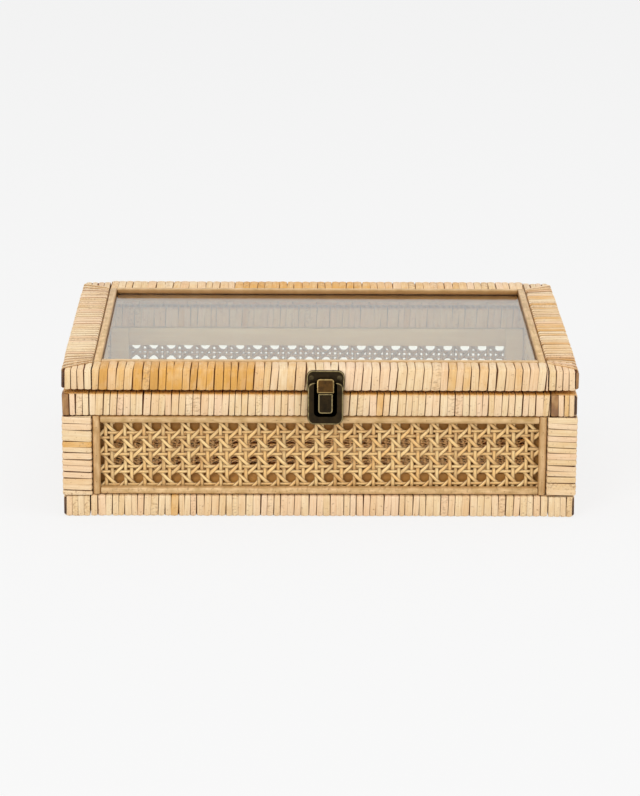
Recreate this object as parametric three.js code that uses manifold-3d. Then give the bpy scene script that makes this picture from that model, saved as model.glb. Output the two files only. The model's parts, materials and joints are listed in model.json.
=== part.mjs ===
// A cane box with a hinged, glazed lid: wooden bars bound with split rattan, joined by tenons.
// Millimetres, +Z up, front towards -Y, origin in the middle of the underside.
import * as THREE from 'three';
import { mergeVertices } from 'three/addons/utils/BufferGeometryUtils.js';
import Module from 'manifold-3d';

// Whole box
const BOX_WIDTH = 340; // along X, over the lid and the posts
const BOX_DEPTH = 240; // along Y, over the lid and the posts
const BASE_INSET = 0.5; // the base rails stand this far inside the lid and the posts
const FIT = 0.3; // clearance between pieces that touch

// Heights, from the bottom up
const BOTTOM_RAIL_HEIGHT = 14.9;
const PANEL_HEIGHT = 54.5; // clear height between bottom rail and top rail
const TOP_RAIL_HEIGHT = 15.6;
const PARTING_GAP = 1.8; // between the base and the closed lid
const LID_HEIGHT = 15.2;

// Bars and their rattan binding
const RAIL_WIDTH = 18;
const LID_RAIL_WIDTH = 20.4;
const POST_SIZE = 20;
const BINDING = 1.6; // thickness of the wound strip
const RAIL_ROUNDING = 3.5;
const POST_ROUNDING = 3.5;
const CORNER_STEPS = 1; // half the facets in a rounded corner

// Joints between bars
const RAIL_TENON_WIDTH = 8;
const RAIL_TENON_HEIGHT = 5;
const RAIL_TENON_DEPTH = 2.4; // into the side bar
const POST_TENON = 7;
const POST_TENON_DEPTH = 5; // into the side bar

// Panels: bead frame in front, cane sheet, batten frame behind
const BEAD_WIDTH = 5;
const BEAD_THICKNESS = 4;
const BEAD_RECESS = 1; // bead crest behind the rail face
const BEAD_EASE = 1.2; // how far the bead's edges are rounded off
const CANE_THICKNESS = 1.8;
const CANE_PITCH_ACROSS = 12.7;
const CANE_PITCH_UP = 11.8;
const CANE_RAISE = 0.3; // the hole rows sit this far above the panel's middle
const CANE_HOLE = 6; // across flats
const CANE_HOLE_SIDES = 6;
const BATTEN_WIDTH = 12.7;

// Floor
const FLOOR_HEIGHT = 4; // underside of the board
const FLOOR_THICKNESS = 4;

// Lid glazing
const GLASS_THICKNESS = 2;
const GLASS_DROP = 3.8; // glass top below the lid top
const LID_BEAD_WIDTH = 4.8;
const LID_BEAD_DROP = 0.3; // bead crest below the lid top
const LID_BEAD_EASE = 1.2;
const LOWER_BEAD_HEIGHT = 5;

// Hinges
const HINGE_INSET = 70; // from the end of the box to the middle of a hinge
const HINGE_WIDTH = 30;
const HINGE_REACH = 12; // from the hinge axis to the far edge of a leaf
const HINGE_LEAF = 1.2;
const HINGE_BARREL_RADIUS = 2.6;
const HINGE_MIDDLE_KNUCKLE = 10;
const HINGE_PIN_RADIUS = 1.2;
const HINGE_PIN_HEAD = 1.2; // height of the pin's heads
const HINGE_SCREW_SPACING = 18;
const PIN_PLAY = 0.15; // radial clearance of a pin in its bore
const KNUCKLE_CLEARANCE = 0.4; // between a knuckle and the other leaf

// Screw holes in the hardware
const SCREW_HOLE_RADIUS = 1.2;

// Latch: catch plate on the lid
const LATCH_X = 3.5; // middle of the latch along X
const CATCH_WIDTH = 25;
const CATCH_HEIGHT = 14.2;
const CATCH_LIFT = 0.5; // catch plate above the lid's underside
const CATCH_THICKNESS = 1;
const CATCH_CORNER = 4.5;
const CATCH_SCREW_SPACING = 18.4;
const CATCH_SCREW_DROP = 5.2; // screws below the plate's top edge
const RIDGE_WIDTH = 9;
const RIDGE_LIFT = 1.7; // ridge above the plate's bottom edge
const RIDGE_HEIGHT = 2;
const RIDGE_DEPTH = 0.9;

// Latch: plate on the base
const LATCH_WIDTH = 23.4;
const LATCH_HEIGHT = 28.6;
const LATCH_DROP = 4; // latch plate below the top rail
const LATCH_DEPTH = 4.6;
const LATCH_WALL = 1;
const LATCH_CORNER = 4.5;
const ARM_CLEARANCE = 0.7; // between the plate's arms and the catch plate
const SLOT_WIDTH = 13.2;
const SLOT_LIFT = 6.35; // slot above the plate's bottom edge
const WEB_LIFT = 1.3; // fixing web above the bottom of the slot
const WEB_HEIGHT = 8;
const WEB_SCREW_SPACING = 9.6;
const EAR_HEIGHT = 5.5;

// Latch: lever, pin and spring
const LEVER_WIDTH = 11;
const TONGUE_THICKNESS = 1.2;
const TONGUE_PROUD = 0.7; // tongue in front of the latch plate
const TONGUE_LIFT = 1.3; // tongue above the bottom of the slot
const TONGUE_CORNER = 2.5;
const HOOK_PROUD = 7; // hook's foot in front of the lid
const HOOK_FOOT_LIFT = 1.85; // hook's foot above the middle of the parting gap
const HOOK_HEIGHT = 8.4;
const HOOK_THICKNESS = 1.2;
const LEVER_PIN_LIFT = 12; // pin above the bottom of the slot
const LEVER_PIN_SETBACK = 2.2; // pin behind the front of the latch plate
const LEVER_PIN_RADIUS = 0.9;
const LEVER_EYE_RADIUS = 2.1;
const SPRING_WIDTH = 4;
const SPRING_THICKNESS = 0.4;
const SPRING_FOOT = 2.5; // length of the spring that lies on the web

// Facets of round pieces
const BARREL_SIDES = 20;
const PIN_SIDES = 12;
const MERGE_TOLERANCE = 1e-4;

// Levels and faces that several pieces share
const panelBottom = BOTTOM_RAIL_HEIGHT;
const panelTop = panelBottom + PANEL_HEIGHT;
const baseTop = panelTop + TOP_RAIL_HEIGHT;
const lidBottom = baseTop + PARTING_GAP;
const lidTop = lidBottom + LID_HEIGHT;
const baseHalfWidth = BOX_WIDTH / 2 - BASE_INSET;
const baseHalfDepth = BOX_DEPTH / 2 - BASE_INSET;
const barInset = BINDING + FIT;
const glassTop = lidTop - GLASS_DROP;
const glassBottom = glassTop - GLASS_THICKNESS;

const wasm = await Module();
wasm.setup();

const box = new THREE.Group();

function finish(color, roughness, metalness, extra = {}) {
  return new THREE.MeshStandardMaterial({ color, roughness, metalness, flatShading: true, ...extra });
}

const rattan = finish(0xcbb083, 0.55, 0);
const barWood = finish(0xa5763f, 0.75, 0);
const battenWood = finish(0xd2a466, 0.7, 0);
const beadRattan = finish(0xb98d55, 0.45, 0);
const cane = finish(0xd0b482, 0.6, 0);
const boardWood = finish(0xb78a55, 0.75, 0);
const glass = finish(0xdde4e2, 0.05, 0, { transparent: true, opacity: 0.35 });
const brass = finish(0x6b5233, 0.45, 0.9);
const bronze = finish(0x4b3c2e, 0.4, 0.9);
const springSteel = finish(0x8d8d8a, 0.35, 1);

// Solids and the helpers that make them

function solid(geometry) {
  geometry.deleteAttribute('normal');
  geometry.deleteAttribute('uv');
  const merged = mergeVertices(geometry, MERGE_TOLERANCE);
  return new wasm.Manifold(new wasm.Mesh({
    numProp: 3,
    vertProperties: new Float32Array(merged.attributes.position.array),
    triVerts: new Uint32Array(merged.index.array),
  }));
}

function geometryOf(body) {
  const mesh = body.getMesh();
  const geometry = new THREE.BufferGeometry();
  geometry.setAttribute('position', new THREE.BufferAttribute(mesh.vertProperties, mesh.numProp));
  geometry.setIndex(new THREE.BufferAttribute(mesh.triVerts, 1));
  geometry.computeVertexNormals();
  return geometry;
}

function add(name, geometry, material, parent = box) {
  const mesh = new THREE.Mesh(geometry, material);
  mesh.name = name;
  parent.add(mesh);
}

function addSolid(name, body, material, parent = box) {
  add(name, geometryOf(body), material, parent);
}

function span(x0, x1, y0, y1, z0, z1) {
  return new THREE.Box3(new THREE.Vector3(x0, y0, z0), new THREE.Vector3(x1, y1, z1));
}

function grown(space, x, y = x, z = x) {
  return space.clone().expandByVector(new THREE.Vector3(x, y, z));
}

function block(space) {
  const size = space.getSize(new THREE.Vector3());
  const centre = space.getCenter(new THREE.Vector3());
  const geometry = new THREE.BoxGeometry(size.x, size.y, size.z);
  geometry.translate(centre.x, centre.y, centre.z);
  return solid(geometry);
}

function roundedRectangle(width, height, lowerRadius, upperRadius = lowerRadius) {
  const right = width / 2;
  const top = height / 2;
  const shape = new THREE.Shape();
  shape.moveTo(-right + lowerRadius, -top);
  shape.lineTo(right - lowerRadius, -top);
  shape.absarc(right - lowerRadius, -top + lowerRadius, lowerRadius, -Math.PI / 2, 0);
  shape.lineTo(right, top - upperRadius);
  shape.absarc(right - upperRadius, top - upperRadius, upperRadius, 0, Math.PI / 2);
  shape.lineTo(-right + upperRadius, top);
  shape.absarc(-right + upperRadius, top - upperRadius, upperRadius, Math.PI / 2, Math.PI);
  shape.lineTo(-right, -top + lowerRadius);
  shape.absarc(-right + lowerRadius, -top + lowerRadius, lowerRadius, Math.PI, 1.5 * Math.PI);
  return shape;
}

function extruded(shape, depth) {
  return new THREE.ExtrudeGeometry(shape, { depth, bevelEnabled: false, curveSegments: CORNER_STEPS });
}

const unit = {
  x: new THREE.Vector3(1, 0, 0),
  y: new THREE.Vector3(0, 1, 0),
  z: new THREE.Vector3(0, 0, 1),
};
const sectionAxes = { x: ['y', 'z'], y: ['z', 'x'], z: ['x', 'y'] };

// Turns a shape extruded along Z so that it runs along another axis.
function turnedAlong(geometry, along) {
  const [across, up] = sectionAxes[along];
  return geometry.applyMatrix4(new THREE.Matrix4().makeBasis(unit[across], unit[up], unit[along]));
}

// A bar that fills a space, with the four edges along its length rounded.
function bar(space, along, radius) {
  const size = space.getSize(new THREE.Vector3());
  const centre = space.getCenter(new THREE.Vector3());
  const [across, up] = sectionAxes[along];
  const geometry = extruded(roundedRectangle(size[across], size[up], radius), size[along]);
  geometry.translate(0, 0, -size[along] / 2);
  turnedAlong(geometry, along);
  geometry.translate(centre.x, centre.y, centre.z);
  return solid(geometry);
}

// A bar with all its edges rounded, as where the binding is folded over its ends.
function closedBar(space, radius) {
  return bar(space, 'x', radius).intersect(bar(space, 'y', radius)).intersect(bar(space, 'z', radius));
}

// A round rod along X. The facets start at the top, so rods and bores of equal sides stay parallel.
function rod(x0, x1, y, z, radius, sides) {
  const geometry = new THREE.CylinderGeometry(radius, radius, x1 - x0, sides);
  geometry.rotateZ(Math.PI / 2);
  geometry.translate((x0 + x1) / 2, y, z);
  return solid(geometry);
}

// A round hole along Y.
function screwHole(x, y, z, reach) {
  const geometry = new THREE.CylinderGeometry(SCREW_HOLE_RADIUS, SCREW_HOLE_RADIUS, 2 * reach, PIN_SIDES);
  geometry.translate(x, y, z);
  return solid(geometry);
}

// An upright plate: a shape in X and Z whose front lies at y, with its thickness behind it.
function plate(shape, x, y, z, thickness) {
  const geometry = extruded(shape, thickness);
  geometry.rotateX(Math.PI / 2);
  geometry.translate(x, y + thickness, z);
  return solid(geometry);
}

// A profile of [y, z] points, run along X about a middle.
function profileAlongX(points, middle, width) {
  const shape = new THREE.Shape(points.map(([y, z]) => new THREE.Vector2(y, z)));
  const geometry = turnedAlong(extruded(shape, width), 'x');
  geometry.translate(middle - width / 2, 0, 0);
  return solid(geometry);
}

function cutAll(body, cutters) {
  return cutters.reduce((rest, cutter) => rest.subtract(cutter), body);
}

// Bars and bindings

// The spaces of a ring of four bound rails: side rails run the full depth, the others between them.
function railRing(halfWidth, halfDepth, width, z0, z1) {
  const shoulder = halfWidth - width - FIT;
  return {
    left: span(-halfWidth, -halfWidth + width, -halfDepth, halfDepth, z0, z1),
    right: span(halfWidth - width, halfWidth, -halfDepth, halfDepth, z0, z1),
    front: span(-shoulder, shoulder, -halfDepth, -halfDepth + width, z0, z1),
    back: span(-shoulder, shoulder, halfDepth - width, halfDepth, z0, z1),
  };
}

// The stub tenon that runs through a front or back bar and into both side bars.
function railTenon(rail, halfWidth, width) {
  const centre = rail.getCenter(new THREE.Vector3());
  const tip = halfWidth - width + barInset + RAIL_TENON_DEPTH;
  return span(
    -tip, tip,
    centre.y - RAIL_TENON_WIDTH / 2, centre.y + RAIL_TENON_WIDTH / 2,
    centre.z - RAIL_TENON_HEIGHT / 2, centre.z + RAIL_TENON_HEIGHT / 2,
  );
}

function addRails(level, ring, halfWidth, width, postCuts) {
  const tenons = { front: railTenon(ring.front, halfWidth, width), back: railTenon(ring.back, halfWidth, width) };
  const mortises = Object.values(tenons).map((tenon) => block(grown(tenon, FIT)));
  const cuts = [...mortises, ...postCuts];
  for (const side of ['left', 'right']) {
    const core = grown(ring[side], -barInset);
    const hollow = block(grown(core, FIT));
    addSolid(`${side}_${level}_bar`, cutAll(block(core), cuts), barWood);
    addSolid(`${side}_${level}_binding`, cutAll(closedBar(ring[side], RAIL_ROUNDING), [hollow, ...cuts]), rattan);
  }
  for (const side of ['front', 'back']) {
    const core = grown(ring[side], 0, -barInset, -barInset);
    const hollow = block(grown(core, width, FIT, FIT));
    addSolid(`${side}_${level}_bar`, block(core).add(block(tenons[side])), barWood);
    addSolid(`${side}_${level}_binding`, bar(ring[side], 'x', RAIL_ROUNDING).subtract(hollow), rattan);
  }
}

const corners = [];
for (const [frontBack, ySide] of [['front', -1], ['back', 1]]) {
  for (const [leftRight, xSide] of [['left', -1], ['right', 1]]) {
    const x = xSide * (BOX_WIDTH - POST_SIZE) / 2;
    const y = ySide * (BOX_DEPTH - POST_SIZE) / 2;
    corners.push({ name: `${frontBack}_${leftRight}_post`, x, y });
  }
}

function postSpace(corner, size, z0, z1) {
  const half = size / 2;
  return span(corner.x - half, corner.x + half, corner.y - half, corner.y + half, z0, z1);
}

function postTenon(corner) {
  const foot = panelBottom - barInset - POST_TENON_DEPTH;
  const head = panelTop + barInset + POST_TENON_DEPTH;
  return postSpace(corner, POST_TENON, foot, head);
}

for (const corner of corners) {
  const bound = postSpace(corner, POST_SIZE, panelBottom + FIT, panelTop - FIT);
  const core = grown(bound, -barInset, -barInset, 0);
  const hollow = block(grown(core, FIT, FIT, POST_SIZE));
  addSolid(`${corner.name}_bar`, block(core).add(block(postTenon(corner))), barWood);
  addSolid(`${corner.name}_binding`, bar(bound, 'z', POST_ROUNDING).subtract(hollow), rattan);
}

const postCuts = corners.map((corner) => block(grown(postTenon(corner), FIT)));
const bottomRing = railRing(baseHalfWidth, baseHalfDepth, RAIL_WIDTH, 0, panelBottom);
const topRing = railRing(baseHalfWidth, baseHalfDepth, RAIL_WIDTH, panelTop, baseTop);
const lidRing = railRing(BOX_WIDTH / 2, BOX_DEPTH / 2, LID_RAIL_WIDTH, lidBottom, lidTop);
addRails('bottom', bottomRing, baseHalfWidth, RAIL_WIDTH, postCuts);
addRails('top', topRing, baseHalfWidth, RAIL_WIDTH, postCuts);
addRails('lid', lidRing, BOX_WIDTH / 2, LID_RAIL_WIDTH, []);

// Panels

function rectangle(halfWidth, halfHeight) {
  const corner = [[-1, -1], [1, -1], [1, 1], [-1, 1]];
  return corner.map(([x, y]) => new THREE.Vector2(x * halfWidth, y * halfHeight));
}

function ringShape(halfWidth, halfHeight, width) {
  const shape = new THREE.Shape(rectangle(halfWidth, halfHeight));
  shape.holes.push(new THREE.Path(rectangle(halfWidth - width, halfHeight - width)));
  return shape;
}

// A frame of bead with its edges rounded off, from z 0 to its thickness.
function beadFrame(halfWidth, halfHeight, width, thickness, ease) {
  const geometry = new THREE.ExtrudeGeometry(ringShape(halfWidth, halfHeight, width), {
    depth: thickness - 2 * ease,
    bevelEnabled: true,
    bevelThickness: ease,
    bevelSize: ease,
    bevelOffset: -ease,
    bevelSegments: 2,
  });
  geometry.translate(0, 0, ease);
  return geometry;
}

// Hole middles along one direction: an even count about the middle, all inside the half span.
function holeMiddles(halfSpan, pitch) {
  const pairs = Math.floor((halfSpan - CANE_HOLE / 2 + pitch / 2) / pitch);
  return Array.from({ length: 2 * pairs }, (_, index) => (index - pairs + 0.5) * pitch);
}

function caneSheet(halfWidth, halfHeight, cover) {
  const shape = new THREE.Shape(rectangle(halfWidth, halfHeight));
  const holeRadius = CANE_HOLE / 2 / Math.cos(Math.PI / CANE_HOLE_SIDES);
  for (const up of holeMiddles(halfHeight - cover - CANE_RAISE, CANE_PITCH_UP)) {
    for (const across of holeMiddles(halfWidth - cover, CANE_PITCH_ACROSS)) {
      const hole = new THREE.Path();
      for (let side = 0; side < CANE_HOLE_SIDES; side += 1) {
        const angle = 2 * Math.PI * side / CANE_HOLE_SIDES;
        const x = across + holeRadius * Math.cos(angle);
        const y = up + CANE_RAISE + holeRadius * Math.sin(angle);
        if (side === 0) {
          hole.moveTo(x, y);
        } else {
          hole.lineTo(x, y);
        }
      }
      hole.closePath();
      shape.holes.push(hole);
    }
  }
  return extruded(shape, CANE_THICKNESS);
}

// Stands a flat geometry upright in a wall, with its far side facing out at the given distance.
function stood(geometry, outerFace, thickness) {
  geometry.rotateX(Math.PI / 2);
  geometry.translate(0, -outerFace + thickness, (panelBottom + panelTop) / 2);
  return geometry;
}

// One wall, modelled as the front one and turned to its place.
function addPanel(name, openingHalf, railFace, turn) {
  const wall = new THREE.Group();
  wall.rotation.z = turn;
  box.add(wall);
  const halfWidth = openingHalf - FIT;
  const halfHeight = PANEL_HEIGHT / 2 - FIT;
  const beadFace = railFace - BEAD_RECESS;
  const caneFace = beadFace - BEAD_THICKNESS - FIT;
  const battenFace = caneFace - CANE_THICKNESS - FIT;
  const battenDepth = battenFace - (railFace - RAIL_WIDTH);
  const beads = beadFrame(halfWidth, halfHeight, BEAD_WIDTH, BEAD_THICKNESS, BEAD_EASE);
  const sheet = caneSheet(halfWidth, halfHeight, BEAD_WIDTH);
  const battens = extruded(ringShape(halfWidth, halfHeight, BATTEN_WIDTH), battenDepth);
  add(`${name}_beads`, stood(beads, beadFace, BEAD_THICKNESS), beadRattan, wall);
  add(`${name}_cane`, stood(sheet, caneFace, CANE_THICKNESS), cane, wall);
  add(`${name}_battens`, stood(battens, battenFace, battenDepth), battenWood, wall);
}

addPanel('front', BOX_WIDTH / 2 - POST_SIZE, baseHalfDepth, 0);
addPanel('right', BOX_DEPTH / 2 - POST_SIZE, baseHalfWidth, Math.PI / 2);
addPanel('back', BOX_WIDTH / 2 - POST_SIZE, baseHalfDepth, Math.PI);
addPanel('left', BOX_DEPTH / 2 - POST_SIZE, baseHalfWidth, -Math.PI / 2);

// Floor

const floorHalfWidth = baseHalfWidth - RAIL_WIDTH - FIT;
const floorHalfDepth = baseHalfDepth - RAIL_WIDTH - FIT;
const floorTop = FLOOR_HEIGHT + FLOOR_THICKNESS;

function floorLayer(z0, z1) {
  return block(span(-floorHalfWidth, floorHalfWidth, -floorHalfDepth, floorHalfDepth, z0, z1));
}

addSolid('floor_board', floorLayer(FLOOR_HEIGHT, floorTop), boardWood);
addSolid('floor_cane', floorLayer(floorTop + FIT, floorTop + FIT + CANE_THICKNESS), cane);

// Lid glazing

const lightHalfWidth = BOX_WIDTH / 2 - LID_RAIL_WIDTH - FIT;
const lightHalfDepth = BOX_DEPTH / 2 - LID_RAIL_WIDTH - FIT;

function addLidBeads(name, z0, height) {
  const geometry = beadFrame(lightHalfWidth, lightHalfDepth, LID_BEAD_WIDTH, height, LID_BEAD_EASE);
  geometry.translate(0, 0, z0);
  add(name, geometry, beadRattan);
}

const pane = span(-lightHalfWidth, lightHalfWidth, -lightHalfDepth, lightHalfDepth, glassBottom, glassTop);
addSolid('glass_pane', block(pane), glass);
addLidBeads('lid_upper_beads', glassTop + FIT, GLASS_DROP - FIT - LID_BEAD_DROP);
addLidBeads('lid_lower_beads', glassBottom - FIT - LOWER_BEAD_HEIGHT, LOWER_BEAD_HEIGHT);

// Hinges

const hingeY = BOX_DEPTH / 2 + FIT + HINGE_BARREL_RADIUS;
const hingeZ = baseTop + PARTING_GAP / 2;
const leafStart = HINGE_BARREL_RADIUS + KNUCKLE_CLEARANCE; // from the axis to where a full leaf begins

function knuckle(x0, x1) {
  return rod(x0, x1, hingeY, hingeZ, HINGE_BARREL_RADIUS, BARREL_SIDES);
}

// A leaf lies on a face at back, on the up or down side of the axis, and carries the given knuckles.
function hingeLeaf(x, back, upDown, knuckles) {
  const level = (distance) => hingeZ + upDown * distance;
  const slab = (x0, x1, y1, near, far) => block(span(
    x0, x1, back, y1, Math.min(level(near), level(far)), Math.max(level(near), level(far)),
  ));
  let leaf = slab(x - HINGE_WIDTH / 2, x + HINGE_WIDTH / 2, back + HINGE_LEAF, leafStart, HINGE_REACH);
  for (const [x0, x1] of knuckles) {
    leaf = leaf.add(slab(x + x0, x + x1, hingeY, FIT, leafStart)).add(knuckle(x + x0, x + x1));
  }
  const screwZ = level((leafStart + HINGE_REACH) / 2);
  const holes = [-1, 1].map((side) => screwHole(x + side * HINGE_SCREW_SPACING / 2, back, screwZ, LID_RAIL_WIDTH));
  const bore = rod(x - HINGE_WIDTH, x + HINGE_WIDTH, hingeY, hingeZ, HINGE_PIN_RADIUS + PIN_PLAY, PIN_SIDES);
  return cutAll(leaf, [bore, ...holes]);
}

for (const [name, side] of [['left', -1], ['right', 1]]) {
  const x = side * (BOX_WIDTH / 2 - HINGE_INSET);
  const end = HINGE_WIDTH / 2;
  const middle = HINGE_MIDDLE_KNUCKLE / 2;
  const outerKnuckles = [[-end, -middle - FIT / 2], [middle + FIT / 2, end]];
  const middleKnuckle = [[-middle + FIT / 2, middle - FIT / 2]];
  const headStart = end + FIT;
  const pin = rod(x - headStart, x + headStart, hingeY, hingeZ, HINGE_PIN_RADIUS, PIN_SIDES)
    .add(rod(x - headStart - HINGE_PIN_HEAD, x - headStart, hingeY, hingeZ, HINGE_BARREL_RADIUS, PIN_SIDES))
    .add(rod(x + headStart, x + headStart + HINGE_PIN_HEAD, hingeY, hingeZ, HINGE_BARREL_RADIUS, PIN_SIDES));
  addSolid(`${name}_hinge_base_leaf`, hingeLeaf(x, baseHalfDepth + FIT, -1, outerKnuckles), brass);
  addSolid(`${name}_hinge_lid_leaf`, hingeLeaf(x, BOX_DEPTH / 2 + FIT, 1, middleKnuckle), brass);
  addSolid(`${name}_hinge_pin`, pin, brass);
}

// Latch

const catchBack = -BOX_DEPTH / 2 - FIT;
const catchFront = catchBack - CATCH_THICKNESS;
const ridgeFront = catchFront - RIDGE_DEPTH;
const catchBottom = lidBottom + CATCH_LIFT;
const latchBack = -baseHalfDepth - FIT;
const latchFront = latchBack - LATCH_DEPTH;
const latchBottom = panelTop - LATCH_DROP;
const latchMiddle = latchBottom + LATCH_HEIGHT / 2;
const slotBottom = latchBottom + SLOT_LIFT;
const slotTop = latchBottom + 2 * LATCH_HEIGHT;
const webFront = latchBack - LATCH_WALL;
const webBottom = slotBottom + WEB_LIFT;
const webTop = webBottom + WEB_HEIGHT;
const pinY = latchFront + LEVER_PIN_SETBACK;
const pinZ = slotBottom + LEVER_PIN_LIFT;
const tongueFront = latchFront - TONGUE_PROUD;
const tongueBack = tongueFront + TONGUE_THICKNESS;
const tongueBottom = slotBottom + TONGUE_LIFT;
const hookFoot = baseTop + PARTING_GAP / 2 + HOOK_FOOT_LIFT;
const earReach = SLOT_WIDTH / 2 + LATCH_WALL;

function latchSpan(halfWidth, y0, y1, z0, z1) {
  return block(span(LATCH_X - halfWidth, LATCH_X + halfWidth, y0, y1, z0, z1));
}

function latchPinRod(halfLength, radius) {
  return rod(LATCH_X - halfLength, LATCH_X + halfLength, pinY, pinZ, radius, PIN_SIDES);
}

function catchPlate() {
  const face = roundedRectangle(CATCH_WIDTH, CATCH_HEIGHT, LATCH_WALL, CATCH_CORNER);
  const sheet = plate(face, LATCH_X, catchFront, catchBottom + CATCH_HEIGHT / 2, CATCH_THICKNESS);
  const ridgeBottom = catchBottom + RIDGE_LIFT;
  const ridge = latchSpan(RIDGE_WIDTH / 2, ridgeFront, catchBack, ridgeBottom, ridgeBottom + RIDGE_HEIGHT);
  const screwZ = catchBottom + CATCH_HEIGHT - CATCH_SCREW_DROP;
  const holes = [-1, 1].map((side) => (
    screwHole(LATCH_X + side * CATCH_SCREW_SPACING / 2, catchFront, screwZ, LID_RAIL_WIDTH)
  ));
  return cutAll(sheet.add(ridge), holes);
}

// A pressed shell, open at the back and at the top, with a slot for the lever.
function latchPlate() {
  const outside = roundedRectangle(LATCH_WIDTH, LATCH_HEIGHT, LATCH_CORNER);
  const inside = roundedRectangle(
    LATCH_WIDTH - 2 * LATCH_WALL, LATCH_HEIGHT - 2 * LATCH_WALL, LATCH_CORNER - LATCH_WALL,
  );
  const armBack = catchFront - ARM_CLEARANCE;
  const shell = plate(outside, LATCH_X, latchFront, latchMiddle, LATCH_DEPTH);
  const hollow = plate(inside, LATCH_X, latchFront + LATCH_WALL, latchMiddle, LATCH_DEPTH);
  const armRelief = latchSpan(LATCH_WIDTH, armBack, latchBack + LATCH_WALL, baseTop - FIT, slotTop);
  const slotHeight = slotTop - slotBottom;
  const slot = plate(
    roundedRectangle(SLOT_WIDTH, slotHeight, TONGUE_CORNER),
    LATCH_X, latchFront - LATCH_WALL, slotBottom + slotHeight / 2, 3 * LATCH_WALL,
  );
  const web = latchSpan((LATCH_WIDTH - LATCH_WALL) / 2, webFront, latchBack, webBottom, webTop);
  const screwZ = (webBottom + webTop) / 2;
  const holes = [-1, 1].map((side) => (
    screwHole(LATCH_X + side * WEB_SCREW_SPACING / 2, webFront, screwZ, LATCH_WALL)
  ));
  const pinBore = latchPinRod(earReach + FIT, LEVER_PIN_RADIUS + PIN_PLAY);
  let body = cutAll(shell, [hollow, armRelief, slot]).add(web.subtract(holes[0]).subtract(holes[1]));
  for (const side of [-1, 1]) {
    const near = LATCH_X + side * SLOT_WIDTH / 2;
    const far = LATCH_X + side * earReach;
    const earSpace = span(
      Math.min(near, far), Math.max(near, far),
      latchFront + LATCH_WALL / 2, pinY + LEVER_EYE_RADIUS,
      pinZ - EAR_HEIGHT / 2, pinZ + EAR_HEIGHT / 2,
    );
    body = body.add(block(earSpace));
  }
  return body.subtract(pinBore);
}

// Tongue, eye and hook in one bent piece.
function latchLever() {
  const tongueHeight = hookFoot - tongueBottom;
  const tongueShape = roundedRectangle(LEVER_WIDTH, tongueHeight, TONGUE_CORNER, LATCH_WALL);
  const tongue = plate(
    tongueShape, LATCH_X, tongueFront, tongueBottom + tongueHeight / 2, TONGUE_THICKNESS,
  );
  const hookFront = -BOX_DEPTH / 2 - HOOK_PROUD;
  const hookTop = hookFoot + HOOK_HEIGHT;
  const tipInner = ridgeFront - FIT;
  const root = hookFoot - HOOK_THICKNESS;
  const hook = profileAlongX([
    [tongueFront, root],
    [hookFront, hookFoot],
    [tipInner - HOOK_THICKNESS, hookTop],
    [tipInner, hookTop],
    [tipInner, hookTop - HOOK_THICKNESS],
    [hookFront + HOOK_THICKNESS, hookFoot + HOOK_THICKNESS],
    [tongueBack, hookFoot],
    [tongueBack, root],
  ], LATCH_X, LEVER_WIDTH);
  const eye = latchPinRod(LEVER_WIDTH / 2, LEVER_EYE_RADIUS);
  const bore = latchPinRod(LATCH_WIDTH, LEVER_PIN_RADIUS + PIN_PLAY);
  return tongue.add(hook).add(eye).subtract(bore);
}

// A leaf that lies on the web under its screws and presses on the foot of the tongue.
function latchSpring() {
  const footFront = webFront - FIT - SPRING_THICKNESS;
  const bend = webTop - FIT - SPRING_FOOT;
  const tip = tongueBottom + SPRING_THICKNESS;
  return profileAlongX([
    [webFront - FIT, webTop - FIT],
    [footFront, webTop - FIT],
    [footFront, bend],
    [tongueBack + FIT, tip],
    [tongueBack + FIT + SPRING_THICKNESS, tip],
    [webFront - FIT, bend - SPRING_THICKNESS],
  ], LATCH_X, SPRING_WIDTH);
}

addSolid('catch_plate', catchPlate(), bronze);
addSolid('latch_plate', latchPlate(), bronze);
addSolid('latch_lever', latchLever(), bronze);
addSolid('lever_pin', latchPinRod(earReach, LEVER_PIN_RADIUS), bronze);
addSolid('latch_spring', latchSpring(), springSteel);

export default box;
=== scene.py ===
# %% [markdown]
# # A cane box with a glazed lid
#
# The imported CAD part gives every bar, panel and fitting its place. This lesson dresses that frame with
# what makes the box look like itself: split rattan wound round the bars, woven cane in the panels,
# smooth rattan beads, a glass pane and a small bronze latch.
#
# Sizes are written in millimetres and each mesh is scaled to metres once, when it becomes an object.

# %% Load the frame
import json
import math
import random

import bmesh
import bpy
from mathutils import Matrix, Vector

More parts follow.
